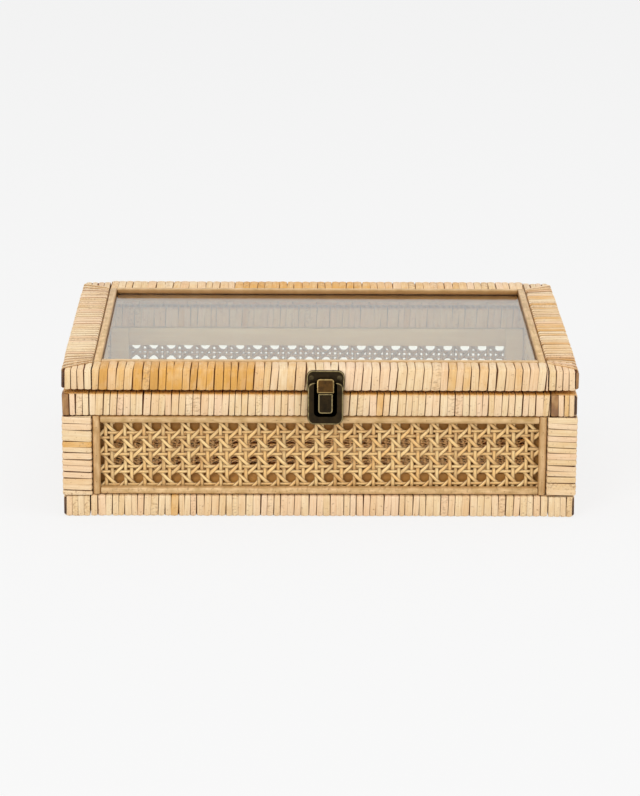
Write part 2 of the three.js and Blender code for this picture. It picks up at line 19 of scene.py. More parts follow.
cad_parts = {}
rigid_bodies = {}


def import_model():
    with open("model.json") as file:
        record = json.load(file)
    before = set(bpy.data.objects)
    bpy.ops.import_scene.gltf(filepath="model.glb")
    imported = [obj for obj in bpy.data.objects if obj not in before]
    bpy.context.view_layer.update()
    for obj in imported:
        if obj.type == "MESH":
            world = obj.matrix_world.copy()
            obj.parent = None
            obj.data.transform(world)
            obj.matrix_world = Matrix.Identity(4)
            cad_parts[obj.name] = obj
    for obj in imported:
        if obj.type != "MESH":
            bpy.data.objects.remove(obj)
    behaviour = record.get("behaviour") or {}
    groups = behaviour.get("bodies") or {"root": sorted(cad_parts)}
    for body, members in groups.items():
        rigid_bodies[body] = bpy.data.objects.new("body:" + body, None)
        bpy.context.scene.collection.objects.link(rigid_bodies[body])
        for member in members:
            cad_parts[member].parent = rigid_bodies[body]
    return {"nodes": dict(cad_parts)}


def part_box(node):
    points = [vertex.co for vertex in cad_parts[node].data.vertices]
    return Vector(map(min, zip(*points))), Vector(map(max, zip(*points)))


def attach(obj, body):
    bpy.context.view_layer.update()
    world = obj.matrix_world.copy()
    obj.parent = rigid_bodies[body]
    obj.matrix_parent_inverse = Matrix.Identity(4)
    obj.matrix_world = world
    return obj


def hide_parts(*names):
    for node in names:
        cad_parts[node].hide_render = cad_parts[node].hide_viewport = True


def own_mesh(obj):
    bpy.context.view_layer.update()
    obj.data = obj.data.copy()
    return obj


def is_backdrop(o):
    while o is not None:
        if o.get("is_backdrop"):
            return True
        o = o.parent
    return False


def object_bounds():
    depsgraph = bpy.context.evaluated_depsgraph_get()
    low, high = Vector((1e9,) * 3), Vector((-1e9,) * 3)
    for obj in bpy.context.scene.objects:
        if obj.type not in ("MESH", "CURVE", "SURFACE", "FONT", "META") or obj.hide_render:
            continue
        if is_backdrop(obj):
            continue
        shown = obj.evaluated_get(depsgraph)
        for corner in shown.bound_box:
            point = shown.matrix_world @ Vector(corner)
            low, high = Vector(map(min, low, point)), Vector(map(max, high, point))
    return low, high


for starter in list(bpy.data.objects):
    bpy.data.objects.remove(starter, do_unlink=True)

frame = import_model()
cad_low, cad_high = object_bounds()
MM = 0.001
print("CAD nodes:", len(frame["nodes"]), "box in mm:", [round(v / MM, 1) for v in cad_high - cad_low])

# %% [markdown]
# ## Camera
#
# The photograph was taken from the front, a little above the lid, with a long lens. The place was worked
# out from the corners of the lid and of the base. The camera leans a little, so the box stands a hair lower
# on the right of the picture. The lens follows from the image height of 796 pixels.

# %% Camera
SENSOR = 36
IMAGE_HEIGHT = 796
FOCAL_PIXELS = 3088.5
CAMERA_AT = (-0.0210, -2.0656, 0.6441)
TILT = Matrix.Rotation(math.radians(73.8975), 3, "X")
YAW = Matrix.Rotation(math.radians(-0.617), 3, "Z")
ROLL = Matrix.Rotation(math.radians(0.342), 3, "Z")


def add_object(name, data):
    made = bpy.data.objects.new(name, data)
    bpy.context.scene.collection.objects.link(made)
    return made


camera_data = bpy.data.cameras.new("camera")
camera_data.sensor_width = SENSOR
camera_data.lens = FOCAL_PIXELS / IMAGE_HEIGHT * SENSOR
camera_data.clip_end = 50
camera = add_object("camera", camera_data)
camera.location = CAMERA_AT
camera.rotation_euler = (YAW @ TILT @ ROLL).to_euler()
bpy.context.scene.camera = camera
print("lens", round(camera_data.lens, 1), "mm")

# %% [markdown]
# ## Helpers for node trees
#
# A material is a small network. These helpers place a node, set its inputs and link sockets in one line,
# so that a finish reads as a list of what it is made of.


# %% Node helpers
def feed(node, inputs):
    """Sets inputs of a node. An input that is given a socket is linked to it."""
    for key, value in inputs.items():
        if isinstance(value, bpy.types.NodeSocket):
            node.id_data.links.new(value, node.inputs[key])
        else:
            node.inputs[key].default_value = value


def place(tree, kind, inputs=None, **settings):
    made = tree.nodes.new(kind)
    for name, value in settings.items():
        setattr(made, name, value)
    feed(made, inputs or {})
    return made


def maths(tree, operation, *values, clamp=False):
    inputs = dict(enumerate(values))
    return place(tree, "ShaderNodeMath", inputs, operation=operation, use_clamp=clamp).outputs[0]


def blended(tree, factor, first, second, blend="MIX"):
    mixer = place(tree, "ShaderNodeMix", {0: factor, 6: first, 7: second}, data_type="RGBA", blend_type=blend)
    return mixer.outputs[2]


def spread(tree, value, low, high, to_low=0.0, to_high=1.0):
    inputs = {"Value": value, "From Min": low, "From Max": high, "To Min": to_low, "To Max": to_high}
    return place(tree, "ShaderNodeMapRange", inputs).outputs[0]


def mark_of(tree, name):
    """A number that the mesh carries at each vertex."""
    return place(tree, "ShaderNodeAttribute", attribute_name=name).outputs["Fac"]


def object_place(tree):
    return place(tree, "ShaderNodeTexCoord").outputs["Object"]


def noise(tree, vector, scale, detail=3.0, roughness=0.5):
    inputs = {"Vector": vector, "Scale": scale, "Detail": detail, "Roughness": roughness}
    return place(tree, "ShaderNodeTexNoise", inputs).outputs["Fac"]


def bump(tree, height, strength, distance):
    inputs = {"Height": height, "Strength": strength, "Distance": distance * MM}
    return place(tree, "ShaderNodeBump", inputs).outputs["Normal"]


def display(red, green, blue):
    """A colour as a screen shows it, 0 to 255, in the linear values that shaders use."""
    shares = (red / 255, green / 255, blue / 255)
    linear = (s / 12.92 if s < 0.0404 else ((s + 0.055) / 1.055) ** 2.4 for s in shares)
    return (*linear, 1.0)


def new_finish(name):
    material = bpy.data.materials.new(name)
    material.use_nodes = True
    tree = material.node_tree
    return material, tree, tree.nodes["Principled BSDF"]


print("node helpers ready")

# %% [markdown]
# ## Light and floor
#
# The photograph is a bright cut-out on almost white paper. A large soft lamp stands in front on the left,
# weaker ones on the right and above, and the world fills in from everywhere. The floor shows the paper's
# colour to the camera and keeps a soft shadow under the box.

# %% World and floor
PAPER = display(247, 247, 247)
WORLD_FILL = 0.65
FLOOR_HALF = 6.0
SHADOW_SHARE = 0.14


def seen_directly(tree):
    """1 for rays that look at the background, also in glass and metal, and 0 for rays that light things."""
    path = place(tree, "ShaderNodeLightPath").outputs
    straight = maths(tree, "ADD", path["Is Camera Ray"], path["Is Glossy Ray"])
    return maths(tree, "ADD", straight, path["Is Transmission Ray"], clamp=True)


world = bpy.data.worlds.new("studio")
bpy.context.scene.world = world
world.use_nodes = True
tree = world.node_tree
fill = (WORLD_FILL, WORLD_FILL, WORLD_FILL, 1)
feed(tree.nodes["Background"], {"Color": blended(tree, seen_directly(tree), fill, PAPER)})

floor_finish, tree, principled = new_finish("paper")
feed(principled, {"Base Color": display(238, 238, 238), "Roughness": 0.9, "Specular IOR Level": 0.0})
glow = place(tree, "ShaderNodeEmission", {"Color": PAPER, "Strength": 1.0})
shown_flat = maths(tree, "MULTIPLY", seen_directly(tree), 1 - SHADOW_SHARE)
floor_mix = place(tree, "ShaderNodeMixShader", {0: shown_flat, 1: principled.outputs[0], 2: glow.outputs[0]})
feed(tree.nodes["Material Output"], {"Surface": floor_mix.outputs[0]})

shape = bmesh.new()
bmesh.ops.create_grid(shape, x_segments=1, y_segments=1, size=FLOOR_HALF)
floor_data = bpy.data.meshes.new("floor")
shape.to_mesh(floor_data)
shape.free()
floor_data.materials.append(floor_finish)
floor = add_object("floor", floor_data)
floor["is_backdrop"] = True
print("floor", 2 * FLOOR_HALF, "m wide")

# %% Lamps
LAMP_AIM = Vector((0, 0, 0.06))


def soft_lamp(name, place_at, size, power, tint=(1, 1, 1)):
    lamp_data = bpy.data.lights.new(name, "AREA")
    lamp_data.size = size
    lamp_data.energy = power
    lamp_data.color = tint
    lamp = add_object(name, lamp_data)
    lamp.location = place_at
    lamp.rotation_euler = (LAMP_AIM - Vector(place_at)).to_track_quat("-Z", "Y").to_euler()


soft_lamp("key_lamp", (-1.3, -2.2, 1.5), size=1.2, power=28.5, tint=(1.0, 0.985, 0.96))
soft_lamp("side_lamp", (1.9, -0.9, 1.3), size=1.2, power=12)
soft_lamp("top_lamp", (0.0, -0.2, 2.2), size=1.6, power=11.5)
print("three lamps and the world light the box")

# %% [markdown]
# ## From a bmesh to a piece
#
# Every new piece goes through one door: the mesh is scaled from millimetres to metres, its normals point
# outwards, it gets its finish, it rides on a body of the frame and it stands for the CAD nodes it replaces.

# %% Piece helpers
MARKS = ("across", "along", "tone", "stain")


def make_piece(name, shape, finish, body, slot, nodes=(), sharp=35, outward=True):
    if outward:
        bmesh.ops.recalc_face_normals(shape, faces=shape.faces[:])
    bmesh.ops.scale(shape, vec=(MM, MM, MM), verts=shape.verts[:])
    mesh = bpy.data.meshes.new(name)
    shape.to_mesh(mesh)
    shape.free()
    mesh.shade_smooth()
    mesh.set_sharp_from_angle(angle=math.radians(sharp))
    mesh.materials.append(finish)
    made = add_object(name, mesh)
    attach(made, body)
    if nodes:
        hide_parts(*nodes)
    return made


def marked_mesh():
    """An empty bmesh with the vertex marks that the plant finishes read."""
    shape = bmesh.new()
    return shape, {name: shape.verts.layers.float.new(name) for name in MARKS}


def verts_of(elements):
    return [e for e in elements if isinstance(e, bmesh.types.BMVert)]


def edges_of(elements):
    return [e for e in elements if isinstance(e, bmesh.types.BMEdge)]


def ease(shape, geometry, offset, segments, affect="EDGES", clamp=False):
    """Rounds edges, or the corners of a flat outline."""
    rounding = {"offset": offset, "segments": segments, "profile": 0.5, "material": -1}
    return bmesh.ops.bevel(shape, geom=geometry, affect=affect, clamp_overlap=clamp, **rounding)


def block(shape, middle, size):
    """A box round a point."""
    matrix = Matrix.Translation(middle) @ Matrix.Diagonal((*size, 1))
    return bmesh.ops.create_cube(shape, size=1, matrix=matrix)["verts"]


def edges_round(verts):
    return list({e for v in verts for e in v.link_edges})


def move(shape, matrix):
    bmesh.ops.transform(shape, matrix=matrix, verts=shape.verts[:])


def box_mm(node):
    """A CAD node's lowest and highest corner, in millimetres."""
    low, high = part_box(node)
    return Vector(low) / MM, Vector(high) / MM


def centre_mm(node):
    """The middle of a CAD node's box and half of its size, in millimetres."""
    low, high = box_mm(node)
    return (low + high) / 2, (high - low) / 2


print("marks:", ", ".join(MARKS))

# %% [markdown]
# ## Plant fibre
#
# Rattan and cane are stems. Long fibres run along every strip, some patches are darker, and here and there
# a leaf scar leaves a brown spot. The strips, beads and strands share one group that makes these masks from
# the distance across and along a strip, both carried by the mesh, with a seed that differs per strip.


# %% Fibre group
def number_socket(group, name, direction, value=0.0):
    socket = group.interface.new_socket(name, in_out=direction, socket_type="NodeSocketFloat")
    if direction == "INPUT":
        socket.default_value = value


fibre_group = bpy.data.node_groups.new("plant_fibre", "ShaderNodeTree")
for name, value in (("Across", 0.0), ("Along", 0.0), ("Seed", 0.0), ("Fineness", 9.0), ("Spots", 0.7)):
    number_socket(fibre_group, name, "INPUT", value)
for name in ("Streaks", "Patches", "Spots"):
    number_socket(fibre_group, name, "OUTPUT")

start = place(fibre_group, "NodeGroupInput").outputs
seed = maths(fibre_group, "MULTIPLY", start["Seed"], 83.0)


def fibre_place(across, squeeze):
    """Coordinates for noise that is drawn out along a strip."""
    along = maths(fibre_group, "MULTIPLY", start["Along"], squeeze)
    return place(fibre_group, "ShaderNodeCombineXYZ", {0: across, 1: along, 2: seed}).outputs[0]


fine_across = maths(fibre_group, "MULTIPLY", start["Across"], start["Fineness"])
streaks = noise(fibre_group, fibre_place(fine_across, 0.05), 1.0, 4.0, 0.6)
patches = noise(fibre_group, fibre_place(start["Across"], 0.1), 1.3, 2.0)
dots = noise(fibre_group, fibre_place(start["Across"], 0.3), 2.2, 2.0, 0.6)
masks = {
    "Streaks": spread(fibre_group, streaks, 0.28, 0.72),
    "Patches": spread(fibre_group, patches, 0.3, 0.7),
    "Spots": spread(fibre_group, dots, start["Spots"], 0.8),
}
place(fibre_group, "NodeGroupOutput", masks)
print("group", fibre_group.name, "has", len(fibre_group.nodes), "nodes")

# %% [markdown]
# ## Rattan and cane
#
# A strip's own tone sets how pale it is, how pink it is, and whether it is one of the few with many scars. A
# stain mark of 0 to 1 brings in the first stain colour, 1 to 2 the second and so on. Besides real stains, the
# mark carries painted shade: the seam under the lid, the hollows of the weave and some faces of the beads.
# The edges are darker, a painted shade for the gaps between strips and for the roundness of beads and
# strands.

# %% Finishes of rattan and cane
HUE_TURNS = 7.0
SCAR_TURNS = 13.0
SCAR_FROM = 0.88
SCAR_DROP = -0.13


def plant_finish(
    name, pale, deep, fibre, spot, edge, stain_and_shade_colours, fineness, spot_level, rough, relief, blush=None, patchy=0.35
):
    material, tree, principled = new_finish(name)
    own = mark_of(tree, "tone")
    scar_share = maths(tree, "FRACT", maths(tree, "MULTIPLY", own, SCAR_TURNS))
    scarred = spread(tree, scar_share, SCAR_FROM, SCAR_FROM + 0.02)
    inputs = {
        "Across": mark_of(tree, "across"),
        "Along": mark_of(tree, "along"),
        "Seed": own,
        "Fineness": fineness,
        "Spots": maths(tree, "MULTIPLY_ADD", scarred, SCAR_DROP, spot_level),
    }
    masks = place(tree, "ShaderNodeGroup", inputs, node_tree=fibre_group).outputs
    own_tone = maths(tree, "MULTIPLY", own, 1 - patchy)
    tone = maths(tree, "MULTIPLY_ADD", masks["Patches"], patchy, own_tone)
    skin = blended(tree, tone, display(*pale), display(*deep))
    if blush:
        own_hue = maths(tree, "FRACT", maths(tree, "MULTIPLY", own, HUE_TURNS))
        skin = blended(tree, spread(tree, own_hue, 0.4, 1.0, 0, 0.6), skin, display(*blush))
    uneven = spread(tree, masks["Patches"], 0, 1, 0.75, 1.2)
    # Stain colours serve real stains and painted shade alike, as the stain mark holds both.
    for low, stain in enumerate(stain_and_shade_colours):
        amount = spread(tree, mark_of(tree, "stain"), low, low + 1)
        skin = blended(tree, maths(tree, "MULTIPLY", amount, uneven, clamp=True), skin, display(*stain))
    dark_fibre = maths(tree, "MULTIPLY", maths(tree, "SUBTRACT", 1.0, masks["Streaks"]), 0.4)
    skin = blended(tree, dark_fibre, skin, display(*fibre), "MULTIPLY")
    skin = blended(tree, maths(tree, "MULTIPLY", masks["Spots"], 0.75), skin, display(*spot))
    # Painted shade: edges of strips, beads and strands are darker, for the gaps between them and their
    # roundness.
    edge_from, edge_share, edge_shade_colour = edge
    from_middle = maths(tree, "ABSOLUTE", mark_of(tree, "across"))
    edge_shade = spread(tree, from_middle, edge_from, 0.5, 0, edge_share)
    looks = {
        "Base Color": blended(tree, edge_shade, skin, display(*edge_shade_colour)),
        "Roughness": spread(tree, masks["Streaks"], 0, 1, rough + 0.1, rough - 0.06),
        "Normal": bump(tree, masks["Streaks"], relief, 0.2),
    }
    feed(principled, looks)
    return material


# Each finish's edge entry sets the painted shade at the edges.
binding_finish = plant_finish(
    "split_rattan",
    pale=(247, 230, 195),
    deep=(231, 201, 150),
    fibre=(200, 156, 104),
    spot=(130, 84, 44),
    edge=(0.44, 0.7, (126, 70, 28)),
    stain_and_shade_colours=((226, 172, 82), (140, 102, 68), (58, 32, 16)),
    fineness=7.0,
    spot_level=0.62,
    rough=0.5,
    relief=0.25,
    blush=(246, 215, 186),
)
bead_finish = plant_finish(
    "smooth_rattan",
    pale=(240, 206, 154),
    deep=(190, 155, 96),
    fibre=(176, 132, 78),
    spot=(122, 78, 40),
    edge=(0.3, 0.55, (164, 118, 64)),
    stain_and_shade_colours=((184, 138, 84), (70, 28, 4)),
    fineness=12.0,
    spot_level=0.68,
    rough=0.42,
    relief=0.2,
    patchy=0.8,
)
CANE = {"spot": (120, 76, 40), "fineness": 3.2, "spot_level": 0.7, "rough": 0.42, "relief": 0.2}
cane_finish = plant_finish(
    "woven_cane",
    pale=(255, 229, 168),
    deep=(249, 204, 130),
    fibre=(198, 144, 76),
    edge=(0.33, 0.9, (112, 68, 28)),
    stain_and_shade_colours=((130, 84, 40),),
    **CANE,
)
# Painted light: the floor cane is a warmer copy of the panel cane, for the warm light that bounces inside the
# box.
floor_cane_finish = plant_finish(
    "floor_cane",
    pale=(252, 206, 142),
    deep=(240, 184, 114),
    fibre=(190, 132, 70),
    edge=(0.34, 0.9, (120, 66, 26)),
    stain_and_shade_colours=((140, 84, 38),),
    **CANE,
)
print("finishes:", binding_finish.name, bead_finish.name, cane_finish.name, floor_cane_finish.name)

# %% [markdown]
# ## Bare wood
#
# The bars inside the windings, the battens behind the cane and the floor board are plain wood. Their grain
# is noise on Object coordinates, squeezed along the board. The bars show only as dark lines between the
# strips. Their dark brown is partly glue and partly painted shade for the gaps between the strips.


# %% Wood finishes
def wood_finish(name, pale, deep, stretch, rough):
    material, tree, principled = new_finish(name)
    coordinates = object_place(tree)
    squeezed = place(tree, "ShaderNodeMapping", {"Vector": coordinates, "Scale": stretch}).outputs[0]
    grain = noise(tree, squeezed, 260.0, 5.0, 0.62)
    cloud = noise(tree, coordinates, 28.0, 2.0)
    share = spread(tree, maths(tree, "ADD", grain, maths(tree, "MULTIPLY", cloud, 0.5)), 0.5, 1.0)
    looks = {
        "Base Color": blended(tree, share, display(*pale), display(*deep)),
        "Roughness": spread(tree, grain, 0, 1, rough - 0.08, rough + 0.08),
        "Normal": bump(tree, grain, 0.3, 0.3),
    }
    feed(principled, looks)
    return material


GRAINS = {"x": (0.08, 1, 1), "y": (1, 0.08, 1), "z": (1, 1, 0.08)}
bar_finishes = {
    axis: wood_finish("glue_and_shade_bar_" + axis, (124, 66, 24), (88, 44, 12), grain, 0.8)
    for axis, grain in GRAINS.items()
}
batten_finishes = {
    axis: wood_finish("batten_wood_" + axis, (248, 226, 180), (232, 202, 150), GRAINS[axis], 0.65)
    for axis in ("x", "y")
}
# Painted shade: the front battens are a darker copy of the batten wood, for the shadow under the top rail
# that shows through the front holes.
shaded_batten_finish = wood_finish("shaded_batten_wood", (196, 138, 62), (166, 112, 44), GRAINS["x"], 0.65)
floor_board_finish = wood_finish("floor_board_wood", (222, 158, 88), (192, 130, 66), GRAINS["x"], 0.6)


def dress_node(name, finish):
    """Gives a CAD node a finish and leaves its shape alone."""
    frame["nodes"][name].material_slots[0].material = finish


SIDES = ("left", "right")
ENDS = ("front", "back")
for level in ("bottom", "top", "lid"):
    for side in SIDES:
        dress_node(f"{side}_{level}_bar", bar_finishes["y"])
    for end in ENDS:
        dress_node(f"{end}_{level}_bar", bar_finishes["x"])
for end in ENDS:
    for side in SIDES:
        dress_node(f"{end}_{side}_post_bar", bar_finishes["z"])
dress_node("floor_board", floor_board_finish)
print("wood finishes on", sum("bar" in n for n in frame["nodes"]), "bars and the floor board")

# %% [markdown]
# ## A strip of split rattan
#
# The binding is a flat strip with a slightly crowned skin, wound round a square bar. A strip starts as a
# cross-section of five points under the bar. Straight runs are extruded and the rounded edges of the bar
# are spun, while every step also moves along the bar. The maker kept the strip almost square to the bar
# where it shows, so it leans most on the underside, and one turn ends where the next begins.

# %% Lay a strip
STRIP_SECTION = ((-0.5, 0.0), (-0.455, 0.74), (0.0, 1.0), (0.455, 0.74), (0.5, 0.0))
BEND_STEPS = 2
HEADINGS = (Vector((0, -1, 0)), Vector((0, 0, 1)), Vector((0, 1, 0)), Vector((0, 0, -1)))
OUTWARDS = (Vector((0, 0, -1)), Vector((0, -1, 0)), Vector((0, 0, 1)), Vector((0, 1, 0)))
BAR_AXIS = Vector((1, 0, 0))


def strip_start(shape, marks, width, thickness, skin):
    """The cross-section of a strip under the bar, with its skin downwards at the given point."""
    ring = []
    for across, height in STRIP_SECTION:
        vert = shape.verts.new(skin + Vector((across * width, 0, thickness * (1 - height))))
        vert[marks["across"]] = across
        ring.append(vert)
    return [shape.edges.new(pair) for pair in zip(ring, ring[1:] + ring[:1])]


def run_on(shape, marks, loop, step, travelled):
    """Extrudes the end of a strip straight on."""
    made = bmesh.ops.extrude_edge_only(shape, edges=loop)["geom"]
    fresh = verts_of(made)
    bmesh.ops.translate(shape, verts=fresh, vec=step)
    for vert in fresh:
        vert[marks["along"]] = travelled
    return [e for e in edges_of(made) if e.is_boundary]


def bend_on(shape, marks, loop, centre, angle, step, travelled):
    """Spins the end of a strip a little way round an edge of the bar."""
    ends = list({v for e in loop for v in e.verts})
    turning = {"cent": centre, "axis": -BAR_AXIS, "dvec": step, "angle": angle, "steps": 1}
    made = bmesh.ops.spin(shape, geom=ends + loop, use_merge=False, **turning)["geom_last"]
    for vert in verts_of(made):
        vert[marks["along"]] = travelled
    return edges_of(made)


def lay_strip(shape, marks, width, thickness, start, runs, radius, leans):
    """Lays a strip in straight runs, each with its lean along the bar, and rounded quarter turns between."""
    before = set(shape.verts)
    skin = Vector(start)
    first = strip_start(shape, marks, width, thickness, skin)
    loop = first
    travelled = 0.0
    for turn, (length, lean) in enumerate(zip(runs, leans)):
        heading = HEADINGS[turn % 4]
        travelled += length
        drift = BAR_AXIS * length * lean
        loop = run_on(shape, marks, loop, heading * length + drift, travelled)
        skin += heading * length + drift
        if turn == len(runs) - 1:
            break
        centre = skin - OUTWARDS[turn % 4] * radius
        piece = math.pi / 2 / BEND_STEPS
        for _ in range(BEND_STEPS):
            travelled += piece * radius
            drift = BAR_AXIS * piece * radius * leans[1]
            loop = bend_on(shape, marks, loop, centre, piece, drift, travelled)
            centre += drift
        skin = centre + OUTWARDS[(turn + 1) % 4] * radius
    bmesh.ops.edgeloop_fill(shape, edges=first)
    bmesh.ops.edgeloop_fill(shape, edges=loop)
    return [v for v in shape.verts if v not in before]


print("a strip's cross-section has", len(STRIP_SECTION), "points")

# %% [markdown]
# ## Winding a bar
#
# One turn is modelled once and then copied along the bar. Each copy is stretched to its own width and tilted
# a little, so the strips differ as split rattan does, and gets its own tone. On the rails between two others
# the winding is cut square at both ends. On the rails that run through, the first and last turns fan out
# towards the corner. The upper faces of the base's top rails, which the closed lid hides, are darkened with a
# painted shade, so that the seam under the lid looks dark.

# %% Wind a bar
STRIP_THICKNESS = 1.3
EDGE_ROUNDING = 1.8
WIDTHS = (0.84, 1.16)
SKEW = 0.03
SLACK = 0.14
TILTS = (0.1,)
TILT_SHARES = (0.6, 1.0)
GAP_SHARES = (0.0, 0.15, 0.35, 0.6, 1.6)
FAN_TILT = 0.75
FAN_SLACK = 0.88
TOP_RETURN = 0.06
# Painted shade: the upper faces of the base's top rails are darkened, so that the seam under the closed lid
# looks dark.
SEAM_SHADES = {"bottom": 0.0, "top": 1.6, "lid": 0.0}


def turn_template(shape, marks, half_y, half_z, pitch, lean):
    """One turn round a bar along X that is centred on the origin."""
    flat_y = 2 * half_y - 2 * EDGE_ROUNDING
    flat_z = 2 * half_z - 2 * EDGE_ROUNDING
    runs = (flat_y / 2, flat_z, flat_y, flat_z, flat_y / 2)
    in_sight = flat_y + 2 * flat_z + 2 * math.pi * EDGE_ROUNDING
    under = (pitch - lean * in_sight + TOP_RETURN * flat_y) / flat_y
    leans = (under, lean, lean - TOP_RETURN, lean, under)
    start = (-pitch / 2, 0, -half_z)
    fresh = lay_strip(shape, marks, pitch, STRIP_THICKNESS, start, runs, EDGE_ROUNDING, leans)
    bmesh.ops.recalc_face_normals(shape, faces=shape.faces[:])
    return fresh


def cut_square(shape, length):
    """Cuts a winding off at both ends of its bar and closes the cut strips."""
    for end in (-1, 1):
        everything = shape.verts[:] + shape.edges[:] + shape.faces[:]
        plane = {"plane_co": (end * length / 2, 0, 0), "plane_no": (end, 0, 0)}
        bmesh.ops.bisect_plane(shape, geom=everything, dist=1e-4, clear_outer=True, **plane)
    bmesh.ops.holes_fill(shape, edges=[e for e in shape.edges if e.is_boundary], sides=0)


def over_edge(z, half_z):
    """0 on the upright faces of a turn, rising to 1 round its upper edge."""
    return min(max((z - half_z + EDGE_ROUNDING) / EDGE_ROUNDING, 0), 1) ** 3


def fan_slant(fans, number, turns):
    """How far a turn slants, where the first and the last turns fan out towards the corners."""
    number = min(max(number, 0), turns - 1)
    slants = (*fans, *(0.0 for _ in range(turns - 2 * len(fans))), *(-fan for fan in reversed(fans)))
    return slants[number]


def wind(
    shape, marks, length, half_y, half_z, pitch, rng, stain_at,
    lean=0.03, gap=0.07, tilts=TILTS, fans=(), shares=GAP_SHARES, flare=0.0, seam_shade=0.0,
):
    """Winds a strip round a bar along X, centred on the origin. Without fans the ends are cut square."""
    template = turn_template(shape, marks, half_y, half_z, pitch, lean)
    turn_geometry = shape.verts[:] + shape.edges[:] + shape.faces[:]
    spare = 0 if fans else 2
    turns = round(length / pitch) + spare
    widths = [rng.uniform(*WIDTHS) for _ in range(turns)]
    fit = (length + spare * pitch) / sum(widths)
    at = -fit * sum(widths) / 2
    for number, width in enumerate(widths):
        at += width * fit / 2
        copied = verts_of(bmesh.ops.duplicate(shape, geom=turn_geometry)["geom"])
        fan = fan_slant(fans, number, turns)
        opening = flare + (fan_slant(fans, number + 1, turns) - fan_slant(fans, number - 1, turns)) / 2
        tilt = FAN_TILT if fan else rng.choice(tilts) * rng.uniform(*TILT_SHARES)
        slack = -tilt / 2 - rng.uniform(0.0, SLACK)
        wider = width * fit / pitch * (1 - gap * rng.choice(shares))
        if fan:
            wider *= FAN_SLACK
        tone = rng.random()
        stain = stain_at(at, rng)
        for vert in copied:
            across = vert[marks["across"]]
            lift = slack - tilt * across
            # The stain mark also takes the painted seam shade round the upper edge.
            vert[marks["stain"]] = max(stain, seam_shade * over_edge(vert.co.z, half_z))
            vert[marks["tone"]] = tone
            vert.co.x += (wider - 1) * pitch * across + opening * across * vert.co.y
            vert.co.y *= 1 + lift / half_y
            vert.co.z *= 1 + lift / half_z
        shaping = Matrix.Translation((at, 0, 0))
        shaping[0][1] = fan + rng.uniform(-SKEW, SKEW)
        shaping[0][2] = rng.uniform(-SKEW, SKEW)
        bmesh.ops.transform(shape, matrix=shaping, verts=copied)
        at += width * fit / 2
    bmesh.ops.delete(shape, geom=template, context="VERTS")
    if not fans:
        cut_square(shape, length)
    return turns


def winding_piece(node, shape, body, turns):
    name = node.replace("binding", "winding")
    make_piece(name, shape, binding_finish, body, "rattan_binding", (node,))
    print(name, turns, "turns")


print("a winding's strip is", STRIP_THICKNESS, "mm thick")

# %% [markdown]
# ## Stains
#
# Some strips are golden or brown. Each function gives the stain of a strip from its place along the bar, in
# millimetres from the middle.

# %% Stains along a bar
GOLD = (0.75, 0.85, 0.95, 1.05, 1.15)
PALE_GOLD = (0.5, 0.6, 0.7)
FADING_GOLD = (0.2, 0.35, 0.5)
BROWNISH = (0.1, 0.2, 0.5)
MIXED_GOLD = (0.05, 0.1, 0.2, 0.35, 0.55, 0.75)
ODD_SHARE = 0.012
ODD_GOLD = 0.6
FIRST_GOLD = 0.4


def lid_front_stain(x, rng):
    """The golden stretch on the left of the lid's front, and a few brownish strips on the right."""
    if x < -146:
        return FIRST_GOLD
    if -136 < x < -120:
        return rng.choice(PALE_GOLD)
    if x < -43:
        return rng.choice(GOLD)
    if x < -12:
        return rng.choice(FADING_GOLD)
    return rng.choice(BROWNISH) if 75 < x < 150 else rng.uniform(0.0, 0.12)


def lid_back_stain(x, rng):
    """Golden in the middle and fading to the right."""
    if -60 < x < 40:
        return rng.uniform(0.7, 1.0)
    return rng.uniform(0.3, 0.6) if 0 < x < 110 else rng.uniform(0.1, 0.35)


def lid_right_stain(x, rng):
    return rng.choice(MIXED_GOLD)


def odd_stain(x, rng):
    """Mostly clean, now and then a golden strip."""
    return ODD_GOLD if rng.random() < ODD_SHARE else rng.uniform(0.0, 0.16)


STAINS = {"front_lid": lid_front_stain, "back_lid": lid_back_stain, "right_lid": lid_right_stain}
print("rails with their own stains:", ", ".join(STAINS))

# %% Wind the front and back rails
PITCHES = {"bottom": 4.6, "top": 4.5, "lid": 5.4}
LEANS = {"bottom": 0.02, "top": 0.04, "lid": 0.065}
JOINTS = {"front": 0.055, "back": -0.03}
RAIL_BODIES = {"bottom": "base", "top": "base", "lid": "lid"}

for level, pitch in PITCHES.items():
    for end in ENDS:
        node = f"{end}_{level}_binding"
        middle, half = centre_mm(node)
        shape, marks = marked_mesh()
        rng = random.Random(node)
        turns = wind(
            shape, marks, 2 * half.x, half.y, half.z, pitch, rng,
            STAINS.get(f"{end}_{level}", odd_stain),
            lean=LEANS[level],
            gap=JOINTS[end],
            seam_shade=SEAM_SHADES[level],
        )
        move(shape, Matrix.Translation(middle))
        winding_piece(node, shape, RAIL_BODIES[level], turns)

# %% [markdown]
# ## The ends of the side rails
#
# The left and right rails run through to the corners, so their ends show. There the maker laid four or five
# short strips over the end, down its face and back underneath, and began the winding on top of their tails.
# On the lid the first turns start slantwise and straighten out turn by turn, and many strips stand a little
# proud of the one before. The strips of an end are listed from the outside in, each with width and stain.

